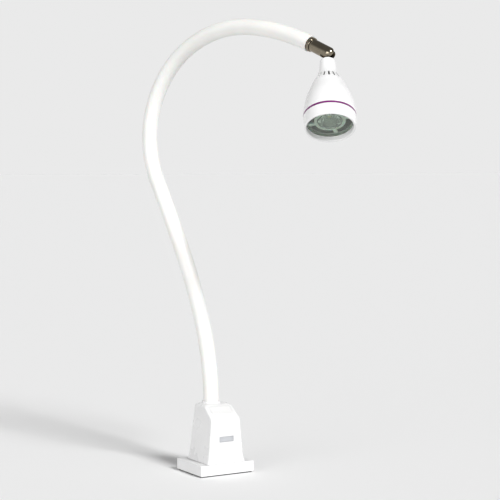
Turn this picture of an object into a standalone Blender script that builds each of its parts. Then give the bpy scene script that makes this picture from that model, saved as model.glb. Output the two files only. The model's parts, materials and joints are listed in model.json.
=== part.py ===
"""Examination light: a weighted base, a flexible gooseneck arm and a swivelling LED head.

Metres, +Z up. The origin is the centre of the foot pad's underside and the base's front faces -Y.
The arm leaves the roof of the base tower and swings forward and a little to +X.
"""
import math

import bmesh
import bpy
from mathutils import Matrix, Vector

MM = 0.001
GAP = 0.3 * MM              # clearance between pieces that touch

# ---- base plate and foot pad
PLATE_WIDTH = 92 * MM
PLATE_DEPTH = 77 * MM
BASE_HEIGHT = 18 * MM       # top of the plate above the surface it stands on
PAD_THICKNESS = 1.5 * MM
PAD_INSET = 2.5 * MM
PLATE_EDGE = 0.8 * MM

# ---- tower
TOWER_TOP = 104 * MM
TOWER_WALL = 2.6 * MM
TOWER_HALF_WIDTH = 31 * MM
TOWER_FRONT = -35.2 * MM
TOWER_BACK = 34.1 * MM
SIDE_TAPER = 0.0895         # inward lean of each side wall, per unit of height
FRONT_TAPER = 0.009
BACK_TAPER = 0.080
FLARE_HEIGHT = 12 * MM
FLARE_REACH = 1.8 * MM
FRONT_CORNER = 4 * MM
BACK_CORNER = 9 * MM
ROOF_EDGE = 4 * MM          # rounding of the roof's edge
SLOPE_FOOT = TOWER_TOP - 19.4 * MM   # height at which the sloping control face starts
SLOPE_RUN = 23.4 * MM       # depth and height of the sloping face
SLOPE_RISE = 17.1 * MM
SLOPE_BLEND = 3 * MM
BOSS_RADIUS = 4.4 * MM
BOSS_HEIGHT = 16 * MM
BOSS_X = TOWER_HALF_WIDTH - 6.5 * MM
BOSS_FRONT = TOWER_FRONT + 7.2 * MM
BOSS_BACK = TOWER_BACK - 9.1 * MM
SCREW_RADIUS = 1.5 * MM
SCREW_HEAD_RADIUS = 3 * MM
SCREW_HEAD_HEIGHT = 2.4 * MM
SCREW_GRIP = 12 * MM

# ---- neck post, its bolt and the lower fitting
POST_RADIUS = 9.5 * MM
POST_TO_BACK = 2.12 * MM    # post to the inside of the back wall, under the roof
NECK_Y = (TOWER_BACK - BACK_TAPER * (TOWER_TOP - BASE_HEIGHT) - TOWER_WALL
          - POST_TO_BACK - POST_RADIUS)     # the arm's axis behind the middle of the base
FITTING_BORE = 5.3 * MM
BOLT_RADIUS = 5 * MM
BOLT_HEAD_RADIUS = 8 * MM
BOLT_HEAD_HEIGHT = 5 * MM
BOLT_GRIP = 14 * MM
PIPE_DEPTH = 22 * MM        # fitting's pipe below the roof
FLANGE_RADIUS = 8.4 * MM
FLANGE_HEIGHT = 3 * MM
SHANK_RADIUS = 5.4 * MM
SHANK_LENGTH = 20 * MM
COLLAR_WALL = 1.8 * MM
COLLAR_HEIGHT = 2.6 * MM
LEAD_WINDOW_WIDTH = 8 * MM  # opening in the post through which the lead leaves it
LEAD_WINDOW_HEIGHT = 24 * MM
LEAD_WINDOW_ABOVE_BOLT = 6 * MM
LEAD_BEND = 12 * MM

# ---- gooseneck arm
ARM_SWING = 20              # degrees from -Y towards +X
SECTION_LENGTH = 119.9 * MM
SECTION_BENDS = (-15.8, -9, -2, 46.2, 41.7, 34.2, 19.5)   # degrees of forward bend, base to head
JOINT_RANGE = 20            # degrees that neighbouring sections can turn from rest, each way
SHEATH_RADIUS = 12 * MM
SHEATH_WALL = 2.7 * MM
CORE_RADIUS = 8.6 * MM
CORE_WALL = 1.6 * MM
LEAD_RADIUS = 2.2 * MM
FITTING_LEAD_BORE = LEAD_RADIUS + 1.2 * MM
BEND_STEP = 8               # degrees of bend between two rings of a section

# ---- knuckle at the end of the arm
COLLAR_RADIUS = 10.7 * MM
END_COLLAR_LENGTH = 5 * MM
SPIGOT_LENGTH = 10 * MM
SLEEVE_RADIUS = 9.3 * MM
SLEEVE_WALL = 2.4 * MM
BALL_DISTANCE = 33 * MM     # from the end of the arm to the ball's centre
BALL_RADIUS = 6.4 * MM
NOSE_BEYOND_BALL = 3.5 * MM   # centre of the sleeve's domed end beyond the ball's centre
SLOT_WIDTH = 8 * MM
SLOT_BEHIND_BALL = 5 * MM
STUD_RADIUS = 3 * MM
PAD_LENGTH = 8 * MM
SPRING_LENGTH = 4.5 * MM
HEAD_TURN = -34.4             # degrees of the sleeve about its own axis
HEAD_TILT = 48              # degrees between the sleeve's axis and the head's axis

# ---- lamp head, measured along its axis from the ball's centre
HEAD_DROP = 15 * MM       # ball's centre to the top of the head's neck
HEAD_LENGTH = 115 * MM
HEAD_STATIONS = (           # (distance from the front rim, outer radius)
    (0 * MM, 35.2 * MM), (1.5 * MM, 36 * MM), (14 * MM, 36.8 * MM), (27 * MM, 36.8 * MM),
    (48 * MM, 32.6 * MM), (65 * MM, 26.2 * MM), (76 * MM, 21.8 * MM), (85 * MM, 16.8 * MM),
    (93 * MM, 13.6 * MM), (101 * MM, 12.1 * MM), (115 * MM, 10.8 * MM))
HEAD_WALL = 2 * MM
NECK_EDGE = 1.5 * MM        # rounding of the top of the head's neck
RING_FROM_RIM = 19 * MM
RING_WIDTH = 3 * MM
RING_WALL = 3.2 * MM
RIM_LIP = 2.8 * MM
RECESS_DEPTH = 7.5 * MM
GLASS_THICKNESS = 2.5 * MM
GLASS_LEDGE = 1.6 * MM
SEAL_THICKNESS = 1.2 * MM
VENT_COUNT = 18
VENT_FROM_RIM = 80.5 * MM
VENT_LENGTH = 11 * MM
VENT_WIDTH = 2.2 * MM
VENT_REACH = 18 * MM         # radial depth of the tool that cuts a slot
HOLDER_OUTER = 22 * MM
HOLDER_INNER = 17.8 * MM
HOLDER_THICKNESS = 4 * MM
SPOKE_COUNT = 4
SPOKE_WIDTH = 5.5 * MM
SPOKE_THICKNESS = 3 * MM
WELD = 1 * MM                # how far joined shapes run into each other
LENS_RADIUS = 17.4 * MM
LENS_BACK_RADIUS = 8 * MM
LENS_DEPTH = 19 * MM
LENS_RIM = 2 * MM
CHIP_RADIUS = 5 * MM
CHIP_THICKNESS = 1.4 * MM
BOARD_RADIUS = 22 * MM
BOARD_THICKNESS = 1.6 * MM
SINK_CORE_RADIUS = 9 * MM
SINK_LENGTH = 38 * MM
SINK_FINS = 12
SINK_FLANGE = 3 * MM
FIN_THICKNESS = 1.6 * MM
SINK_CLEARANCE = 2.5 * MM   # fin tips to the inside of the shell
BOARD_SCREW_CIRCLE = 14 * MM
BOARD_SCREW_HEAD = 1.4 * MM
BOARD_SCREW_TURN = 20       # degrees from the first spoke
BUSHING_LENGTH = 9 * MM
NUT_RADIUS = 5.5 * MM
NUT_HEIGHT = 4 * MM

# ---- switch on the sloping face
PADDLE_MARGIN = 5.3 * MM      # from the paddle to the side of the tower
PADDLE_WIDTH = 2 * (TOWER_HALF_WIDTH - SIDE_TAPER * (TOWER_TOP - BASE_HEIGHT) - PADDLE_MARGIN)
PADDLE_HEIGHT = 15.5 * MM
PADDLE_THICKNESS = 3 * MM
PADDLE_ALONG_SLOPE = 20.5 * MM
PADDLE_TRAVEL = 1.2 * MM
SWITCH_SIZE = (12 * MM, 8 * MM, 6 * MM)

# ---- driver, inlet and badge
BOARD_WIDTH = 2 * (BOSS_X - BOSS_RADIUS - 1 * MM)
BOARD_HEIGHT = 44 * MM
BOARD_LIFT = 4 * MM          # board's lower edge above the plate
DRIVER_LIFT = 8 * MM         # driver's lower edge above the board's
MOULDED_EDGE = 0.6 * MM
BOARD_Y = TOWER_FRONT + 10.2 * MM
DRIVER_SIZE = (30 * MM, 12 * MM, 30 * MM)
INLET_RADIUS = 5.4 * MM
INLET_FLANGE = 6.8 * MM
INLET_X = -(TOWER_HALF_WIDTH - BACK_CORNER - INLET_FLANGE - 2 * MM)
INLET_Z = BASE_HEIGHT + GAP + BOSS_HEIGHT + INLET_FLANGE + 1 * MM
INLET_DEPTH = (TOWER_BACK - BACK_TAPER * (INLET_Z - BASE_HEIGHT) - NECK_Y - POST_RADIUS
               - 1 * MM)    # it ends short of the post
INLET_FLOOR = 3 * MM
INLET_RIM = 1.8 * MM
JACK_RADIUS = 3.2 * MM
JACK_PIN_RADIUS = 1 * MM
BADGE_WIDTH = 24 * MM
BADGE_HEIGHT = 8 * MM
BADGE_THICKNESS = 1 * MM
BADGE_Z = 54.6 * MM

ROUND = 24                  # sides of a large round piece
SMALL = 12                  # sides of a small one


# ======================================================================== helpers

def clear_scene():
    for old in list(bpy.data.objects):
        bpy.data.objects.remove(old, do_unlink=True)


def finish_material(name, colour, roughness, metallic=0.0):
    mat = bpy.data.materials.new(name)
    mat.use_nodes = True
    shader = mat.node_tree.nodes["Principled BSDF"]
    shader.inputs["Base Color"].default_value = (*colour, 1.0)
    shader.inputs["Roughness"].default_value = roughness
    shader.inputs["Metallic"].default_value = metallic
    return mat


def empty(name, parent=None, place=Matrix.Identity(4)):
    axis = bpy.data.objects.new(name, None)
    bpy.context.collection.objects.link(axis)
    axis.empty_display_size = 0.01
    axis.parent = parent
    axis.matrix_local = place
    return axis


def add(name, bm, colour, roughness, metallic=0.0, parent=None, place=None, smooth=40):
    """Make a named object from a bmesh, with its own material."""
    bmesh.ops.recalc_face_normals(bm, faces=bm.faces)
    mesh = bpy.data.meshes.new(name)
    bm.to_mesh(mesh)
    bm.free()
    obj = bpy.data.objects.new(name, mesh)
    bpy.context.collection.objects.link(obj)
    obj.parent = parent
    if place is not None:
        obj.matrix_local = place
    mesh.materials.append(finish_material(name + "_finish", colour, roughness, metallic))
    if smooth:
        mesh.shade_smooth()
        mesh.set_sharp_from_angle(angle=math.radians(smooth))
    return obj


def cut(target, tool, operation="DIFFERENCE"):
    """Shape a piece with a hidden tool object."""
    tool.hide_render = True
    tool.display_type = "WIRE"
    boolean = target.modifiers.new(tool.name, "BOOLEAN")
    boolean.operation = operation
    boolean.object = tool
    return boolean


def tool_object(name, bm, parent=None, place=None):
    obj = add(name, bm, (1, 0, 0), 0.5, parent=parent, place=place, smooth=0)
    obj.hide_render = True
    obj.display_type = "WIRE"
    return obj


def at(x=0.0, y=0.0, z=0.0):
    return Matrix.Translation((x, y, z))


def turn(degrees, axis):
    return Matrix.Rotation(math.radians(degrees), 4, axis)


def loft(rings, bottom=True, top=True, closed=False):
    """Skin a list of equal rings of points; closed joins the last ring to the first."""
    bm = bmesh.new()
    skins = [[bm.verts.new(p) for p in ring] for ring in rings]
    pairs = list(zip(skins, skins[1:]))
    if closed:
        pairs.append((skins[-1], skins[0]))
    count = len(skins[0])
    for low, high in pairs:
        for i in range(count):
            j = (i + 1) % count
            bm.faces.new((low[i], low[j], high[j], high[i]))
    if not closed and bottom:
        bm.faces.new(list(reversed(skins[0])))
    if not closed and top:
        bm.faces.new(skins[-1])
    return bm


def turned(profile, sides=ROUND):
    """Solid of revolution about Z. A profile that starts and ends on the axis is solid."""
    bm = bmesh.new()
    rings = []
    for radius, z in profile:
        if radius < 1e-9:
            rings.append([bm.verts.new((0, 0, z))])
        else:
            angles = [2 * math.pi * i / sides for i in range(sides)]
            rings.append([bm.verts.new((radius * math.cos(a), radius * math.sin(a), z)) for a in angles])
    solid = len(rings[0]) == 1 and len(rings[-1]) == 1
    pairs = list(zip(rings, rings[1:]))
    if not solid:
        pairs.append((rings[-1], rings[0]))
    for low, high in pairs:
        for i in range(sides):
            j = (i + 1) % sides
            corners = [low[i % len(low)], low[j % len(low)], high[j % len(high)], high[i % len(high)]]
            bm.faces.new(list(dict.fromkeys(corners)))
    return bm


def rod(radius, low, high, sides=SMALL):
    return turned([(0, low), (radius, low), (radius, high), (0, high)], sides)


def pipe(outer, inner, low, high, sides=ROUND):
    return turned([(outer, low), (outer, high), (inner, high), (inner, low)], sides)


def block(size, centre=(0, 0, 0), edge=0.0):
    bm = bmesh.new()
    bmesh.ops.create_cube(bm, size=1.0)
    for v in bm.verts:
        v.co = Vector([v.co[i] * size[i] + centre[i] for i in range(3)])
    if edge:
        bmesh.ops.bevel(bm, geom=bm.edges[:], offset=edge, segments=2, profile=0.5, affect="EDGES")
    return bm


def rounded_rectangle(left, right, front, back, front_corner, back_corner, z, steps=4):
    """Ring of points around a rectangle with rounded corners, at height z."""
    corners = ((right, back, back_corner, 0), (left, back, back_corner, 90),
               (left, front, front_corner, 180), (right, front, front_corner, 270))
    ring = []
    for x, y, radius, start in corners:
        cx = x - math.copysign(radius, x)
        cy = y - radius if start < 180 else y + radius
        for i in range(steps + 1):
            a = math.radians(start + 90 * i / steps)
            ring.append((cx + radius * math.cos(a), cy + radius * math.sin(a), z))
    return ring


def lead_run(name, points, parent=None):
    """A round cable along a smooth list of points."""
    curve = bpy.data.curves.new(name, "CURVE")
    curve.dimensions = "3D"
    curve.bevel_depth = LEAD_RADIUS
    curve.bevel_resolution = 2
    curve.use_fill_caps = True
    spline = curve.splines.new("POLY")
    spline.points.add(len(points) - 1)
    for point, co in zip(spline.points, points):
        point.co = (*co, 1)
    curve.materials.append(finish_material(name + "_finish", (0.03, 0.03, 0.03), 0.5))
    obj = bpy.data.objects.new(name, curve)
    bpy.context.collection.objects.link(obj)
    obj.parent = parent
    return obj


# ======================================================================== base

def smooth_max(a, b, width):
    """The larger of two values, with a rounded change from one to the other."""
    return 0.5 * (a + b + math.hypot(a - b, width))


def tower_ring(z, inset):
    """Outline of the tower at height z, moved inwards by inset."""
    up = z - BASE_HEIGHT
    foot = max(0.0, 1 - up / FLARE_HEIGHT)
    flare = FLARE_REACH * foot * foot
    half = TOWER_HALF_WIDTH - SIDE_TAPER * up + flare - inset
    upright = TOWER_FRONT + FRONT_TAPER * up - flare + inset
    per_slope = math.hypot(SLOPE_RUN, SLOPE_RISE) / SLOPE_RISE
    front_at_foot = TOWER_FRONT + FRONT_TAPER * (SLOPE_FOOT - BASE_HEIGHT)
    sloping = front_at_foot + (z - SLOPE_FOOT) * SLOPE_RUN / SLOPE_RISE + inset * per_slope
    front = smooth_max(upright, sloping, SLOPE_BLEND)
    back = TOWER_BACK - BACK_TAPER * up + flare - inset
    rounding = max(0.0, z + inset - (TOWER_TOP - ROOF_EDGE))
    draw_in = ROOF_EDGE - math.sqrt(max(0.0, ROOF_EDGE ** 2 - rounding ** 2))
    if inset:
        draw_in *= 0.5
    front_corner = max(1 * MM, FRONT_CORNER - inset)
    back_corner = max(1 * MM, BACK_CORNER - inset)
    return rounded_rectangle(-half + draw_in, half - draw_in, front + draw_in, back - draw_in,
                             front_corner, back_corner, z)


def tower_shell():
    """Hollow tower, open at the bottom."""
    foot = BASE_HEIGHT + GAP
    slope = [SLOPE_FOOT + SLOPE_RISE * k for k in (-0.45, -0.12, 0.12, 0.45)]
    edge = [TOWER_TOP - ROOF_EDGE * (1 - math.sin(math.radians(a))) for a in (0, 30, 60, 90)]
    outer = [foot, foot + FLARE_HEIGHT / 3, foot + 2 * FLARE_HEIGHT / 3, foot + FLARE_HEIGHT, *slope, *edge]
    inner_top = TOWER_TOP - TOWER_WALL
    inner = [foot, foot + FLARE_HEIGHT / 2, foot + FLARE_HEIGHT, *[z - TOWER_WALL / 2 for z in slope],
             inner_top - 2 * MM, inner_top]
    outside = [tower_ring(z, 0.0) for z in outer]
    inside = [tower_ring(z, TOWER_WALL) for z in inner]
    return loft(list(reversed(inside)) + outside)


def slope_frame():
    """Frame on the middle of the control face: Z is its outward normal, Y points up the slope."""
    along = Vector((0, SLOPE_RUN, SLOPE_RISE)).normalized()
    foot = Vector((0, TOWER_FRONT + FRONT_TAPER * (SLOPE_FOOT - BASE_HEIGHT), SLOPE_FOOT))
    place = Matrix.Translation(foot + along * PADDLE_ALONG_SLOPE)
    return place @ Matrix.Rotation(math.atan2(SLOPE_RISE, SLOPE_RUN), 4, "X")


def back_frame():
    """Frame on the rear wall at the power inlet: Z points out of the wall."""
    y = TOWER_BACK - BACK_TAPER * (INLET_Z - BASE_HEIGHT)
    lean = math.degrees(math.atan(BACK_TAPER))
    return at(INLET_X, y, INLET_Z) @ turn(-90 + lean, "X")


def front_frame():
    """Frame on the front wall at the badge: Z points out of the wall, Y points up."""
    y = TOWER_FRONT + FRONT_TAPER * (BADGE_Z - BASE_HEIGHT)
    return at(0, y, BADGE_Z) @ turn(90 - math.degrees(math.atan(FRONT_TAPER)), "X")


def boss_places():
    return [(sx * BOSS_X, y) for y in (BOSS_FRONT, BOSS_BACK) for sx in (-1, 1)]


def build_base():
    pad = block((PLATE_WIDTH - 2 * PAD_INSET, PLATE_DEPTH - 2 * PAD_INSET, PAD_THICKNESS),
                (0, 0, PAD_THICKNESS / 2))
    add("foot_pad", pad, (0.03, 0.03, 0.03), 0.85, smooth=0)

    low = PAD_THICKNESS + GAP
    height = BASE_HEIGHT - low
    slab = block((PLATE_WIDTH, PLATE_DEPTH, height), (0, 0, low + height / 2), PLATE_EDGE)
    plate = add("base_plate", slab, (0.86, 0.86, 0.85), 0.35)
    head_top = low + GAP + SCREW_HEAD_HEIGHT + GAP
    for i, (x, y) in enumerate(boss_places(), 1):
        hole = tool_object(f"cut_screw_{i}", turned([
            (0, 0), (SCREW_HEAD_RADIUS + GAP, 0), (SCREW_HEAD_RADIUS + GAP, head_top),
            (SCREW_RADIUS + GAP, head_top), (SCREW_RADIUS + GAP, TOWER_TOP / 2), (0, TOWER_TOP / 2)],
            SMALL), place=at(x, y))
        cut(plate, hole)
    bolt_top = low + GAP + BOLT_HEAD_HEIGHT + GAP
    cut(plate, tool_object("cut_post_bolt", turned([
        (0, 0), (BOLT_HEAD_RADIUS + GAP, 0), (BOLT_HEAD_RADIUS + GAP, bolt_top),
        (BOLT_RADIUS + GAP, bolt_top), (BOLT_RADIUS + GAP, TOWER_TOP / 2), (0, TOWER_TOP / 2)],
        SMALL), place=at(0, NECK_Y)))

    for i, (x, y) in enumerate(boss_places(), 1):
        head_low = low + GAP
        shoulder = head_low + SCREW_HEAD_HEIGHT
        screw = turned([(0, head_low), (SCREW_HEAD_RADIUS, head_low), (SCREW_HEAD_RADIUS, shoulder),
                        (SCREW_RADIUS, shoulder), (SCREW_RADIUS, BASE_HEIGHT + SCREW_GRIP),
                        (0, BASE_HEIGHT + SCREW_GRIP)], SMALL)
        add(f"base_screw_{i}", screw, (0.6, 0.6, 0.62), 0.3, 1.0, place=at(x, y))

    head_low = low + GAP
    shoulder = head_low + BOLT_HEAD_HEIGHT
    bolt = turned([(0, head_low), (BOLT_HEAD_RADIUS, head_low), (BOLT_HEAD_RADIUS, shoulder),
                   (BOLT_RADIUS, shoulder), (BOLT_RADIUS, BASE_HEIGHT + BOLT_GRIP),
                   (0, BASE_HEIGHT + BOLT_GRIP)], SMALL)
    add("post_bolt", bolt, (0.5, 0.5, 0.52), 0.35, 1.0, place=at(0, NECK_Y))


def build_housing():
    housing = add("base_housing", tower_shell(), (0.88, 0.88, 0.87), 0.3, smooth=35)
    foot = BASE_HEIGHT + GAP
    for i, (x, y) in enumerate(boss_places(), 1):
        boss = tool_object(f"boss_{i}", rod(BOSS_RADIUS, foot, foot + BOSS_HEIGHT), place=at(x, y))
        cut(housing, boss, "UNION")
    for i, (x, y) in enumerate(boss_places(), 1):
        bore = rod(SCREW_RADIUS + GAP, 0, BASE_HEIGHT + SCREW_GRIP + GAP)
        cut(housing, tool_object(f"boss_bore_{i}", bore, place=at(x, y)))
    inner = SHEATH_RADIUS + GAP
    collar_foot = TOWER_TOP - TOWER_WALL / 2
    collar_top = TOWER_TOP + COLLAR_HEIGHT
    collar = turned([(inner, collar_foot), (inner + COLLAR_WALL, collar_foot),
                     (inner + COLLAR_WALL, collar_top - COLLAR_HEIGHT / 2),
                     (inner + COLLAR_WALL / 2, collar_top), (inner, collar_top)])
    cut(housing, tool_object("roof_collar", collar, place=at(0, NECK_Y)), "UNION")
    roof_hole = rod(BOLT_RADIUS + GAP, TOWER_TOP - 3 * TOWER_WALL, TOWER_TOP + TOWER_WALL, ROUND)
    cut(housing, tool_object("cut_roof", roof_hole, place=at(0, NECK_Y)))
    window = block((PADDLE_WIDTH + 2 * GAP, PADDLE_HEIGHT + 2 * GAP, 6 * TOWER_WALL))
    cut(housing, tool_object("cut_paddle", window, place=slope_frame()))
    jack = rod(INLET_RADIUS + GAP, -4 * TOWER_WALL, 4 * TOWER_WALL, ROUND)
    cut(housing, tool_object("cut_inlet", jack, place=back_frame()))
    recess = block((BADGE_WIDTH + 2 * GAP, BADGE_HEIGHT + 2 * GAP, 2 * BADGE_THICKNESS))
    cut(housing, tool_object("cut_badge", recess, place=front_frame()))

    badge = block((BADGE_WIDTH, BADGE_HEIGHT, BADGE_THICKNESS), (0, 0, -BADGE_THICKNESS / 2 + GAP), 0.3 * MM)
    add("front_badge", badge, (0.45, 0.46, 0.47), 0.35, place=front_frame())


def build_switch():
    """White press paddle that lies flush in the sloping face, over its switch."""
    face = empty("switch_press_axis", place=slope_frame())
    paddle = block((PADDLE_WIDTH, PADDLE_HEIGHT, PADDLE_THICKNESS), (0, 0, -PADDLE_THICKNESS / 2), 0.5 * MM)
    add("switch_paddle", paddle, (0.85, 0.85, 0.84), 0.35, parent=face)
    below = -PADDLE_THICKNESS - PADDLE_TRAVEL - GAP
    width, height, depth = SWITCH_SIZE
    add("switch_body", block(SWITCH_SIZE, (0, 0, below - depth / 2), 0.4 * MM),
        (0.05, 0.05, 0.05), 0.5, place=slope_frame())
    carrier_low = below - depth - GAP - TOWER_WALL
    add("switch_carrier", block((PADDLE_WIDTH, PADDLE_HEIGHT - 2 * MM, TOWER_WALL),
                                (0, 0, carrier_low + TOWER_WALL / 2)),
        (0.1, 0.25, 0.12), 0.6, place=slope_frame(), smooth=0)


def build_post():
    """Steel post that carries the arm's lower fitting straight down to the plate."""
    place = at(0, NECK_Y)
    low = BASE_HEIGHT + GAP
    high = TOWER_TOP - TOWER_WALL - GAP
    post = add("neck_post", pipe(POST_RADIUS, FITTING_BORE, low, high),
               (0.55, 0.55, 0.56), 0.4, 1.0, place=place)
    window_low = low + BOLT_GRIP + LEAD_WINDOW_ABOVE_BOLT
    window_high = window_low + LEAD_WINDOW_HEIGHT
    window = block((LEAD_WINDOW_WIDTH, 2 * POST_RADIUS, window_high - window_low),
                   (0, -POST_RADIUS, (window_low + window_high) / 2))
    cut(post, tool_object("cut_post_window", window, place=place))

    bore = FITTING_LEAD_BORE
    seat = TOWER_TOP + GAP
    fitting = turned([(BOLT_RADIUS, TOWER_TOP - PIPE_DEPTH), (BOLT_RADIUS, seat), (FLANGE_RADIUS, seat),
                      (FLANGE_RADIUS, seat + FLANGE_HEIGHT), (SHANK_RADIUS, seat + FLANGE_HEIGHT),
                      (SHANK_RADIUS, seat + FLANGE_HEIGHT + SHANK_LENGTH),
                      (bore, seat + FLANGE_HEIGHT + SHANK_LENGTH), (bore, TOWER_TOP - PIPE_DEPTH)])
    add("lower_fitting", fitting, (0.6, 0.6, 0.6), 0.3, 1.0, place=place)

    driver_y = BOARD_Y + GAP + DRIVER_SIZE[1]
    bend = LEAD_BEND
    exit_z = (window_low + window_high - bend) / 2 + LEAD_RADIUS
    straight = (seat + FLANGE_HEIGHT, TOWER_TOP - bend, exit_z + 1.5 * bend)
    points = [(0, NECK_Y, z) for z in straight]
    for i in range(6):
        a = math.radians(90 * i / 5)
        points.append((0, NECK_Y - bend * (1 - math.cos(a)), exit_z + bend * (1 - math.sin(a))))
    points.append((0, driver_y + 2 * GAP, exit_z))
    lead_run("base_lead", points)


def build_driver():
    low = BASE_HEIGHT + BOARD_LIFT
    board_middle = (0, BOARD_Y - BOARD_THICKNESS / 2, low + BOARD_HEIGHT / 2)
    add("driver_board", block((BOARD_WIDTH, BOARD_THICKNESS, BOARD_HEIGHT), board_middle),
        (0.03, 0.22, 0.08), 0.5, smooth=0)
    block_z = low + DRIVER_LIFT + DRIVER_SIZE[2] / 2
    driver = block(DRIVER_SIZE, (0, BOARD_Y + GAP + DRIVER_SIZE[1] / 2, block_z), MOULDED_EDGE)
    add("driver_block", driver, (0.05, 0.05, 0.055), 0.5)
    floor = -INLET_DEPTH + INLET_FLOOR
    edge = INLET_RIM - MOULDED_EDGE
    profile = [(0, 0), (JACK_PIN_RADIUS, 0), (JACK_PIN_RADIUS, floor), (JACK_RADIUS, floor),
               (JACK_RADIUS, INLET_RIM), (INLET_FLANGE - MOULDED_EDGE, INLET_RIM), (INLET_FLANGE, edge),
               (INLET_FLANGE, GAP), (INLET_RADIUS, GAP), (INLET_RADIUS, -INLET_DEPTH), (0, -INLET_DEPTH)]
    add("power_inlet", turned(profile, 20), (0.04, 0.04, 0.04), 0.45, place=back_frame())


# ======================================================================== gooseneck

def arc_frame(bend, s):
    """Frame on a section's centreline, s along it from its start: Z is the tangent."""
    angle = math.radians(bend) * s / SECTION_LENGTH
    if abs(bend) < 1e-6:
        return at(0, 0, s)
    radius = SECTION_LENGTH / math.radians(bend)
    return at(radius * (1 - math.cos(angle)), 0, radius * math.sin(angle)) @ Matrix.Rotation(angle, 4, "Y")


def end_cut(radius):
    """How far a section's end is cut back at a radius, so that two ends can turn against each other."""
    return radius * math.tan(math.radians(JOINT_RANGE / 2 + 1)) + GAP / 2


def bent_ring(bend, s, radius, sides):
    frame = arc_frame(bend, s)
    angles = [2 * math.pi * i / sides for i in range(sides)]
    return [tuple(frame @ Vector((radius * math.cos(a), radius * math.sin(a), 0))) for a in angles]


def bent_tube(bend, outer, inner, start, end, sides):
    """Tube along a section, from start to end before its two ends. None cuts that end back for turning."""
    steps = max(3, math.ceil(abs(bend) / BEND_STEP))

    def wall(radius):
        low = end_cut(radius) if start is None else start
        high = SECTION_LENGTH - (end_cut(radius) if end is None else end)
        return [bent_ring(bend, low + (high - low) * i / steps, radius, sides) for i in range(steps + 1)]
    return loft(wall(outer) + list(reversed(wall(inner))), closed=True)


def build_arm():
    """Sections of the arm, each on an empty at its lower end. Returns the frame of the arm's end."""
    last = len(SECTION_BENDS)
    frame = empty("neck_root", place=at(0, NECK_Y, TOWER_TOP) @ turn(ARM_SWING - 90, "Z"))
    seat = GAP
    core_seat = 2 * GAP + FLANGE_HEIGHT
    for i, bend in enumerate(SECTION_BENDS, 1):
        axis = empty(f"neck_section_{i}", frame)
        sheath_seat = seat if i == 1 else None
        inner_seat = core_seat if i == 1 else None
        tip = 1.5 * GAP if i == last else None
        sheath = bent_tube(bend, SHEATH_RADIUS, SHEATH_RADIUS - SHEATH_WALL, sheath_seat, tip, 16)
        add(f"neck_sheath_{i}", sheath, (0.87, 0.87, 0.84), 0.45, parent=axis)
        core = bent_tube(bend, CORE_RADIUS, CORE_RADIUS - CORE_WALL, inner_seat, tip, 12)
        add(f"neck_core_{i}", core, (0.45, 0.45, 0.47), 0.35, 1.0, parent=axis)
        low = end_cut(LEAD_RADIUS) if inner_seat is None else inner_seat
        high = SECTION_LENGTH - (end_cut(LEAD_RADIUS) if tip is None else tip)
        steps = max(3, math.ceil(abs(bend) / BEND_STEP))
        points = [arc_frame(bend, low + (high - low) * k / steps).translation for k in range(steps + 1)]
        lead_run(f"neck_lead_{i}", points, axis)
        frame = empty(f"neck_end_{i}", axis, arc_frame(bend, SECTION_LENGTH))
    return frame


# ======================================================================== knuckle

def sphere_profile(radius, centre, start, end, steps):
    """Points on a circle about the axis; angles in degrees from +Z."""
    points = []
    for i in range(steps + 1):
        a = math.radians(start + (end - start) * i / steps)
        points.append((max(0.0, radius * math.sin(a)), centre + radius * math.cos(a)))
    return points


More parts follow.
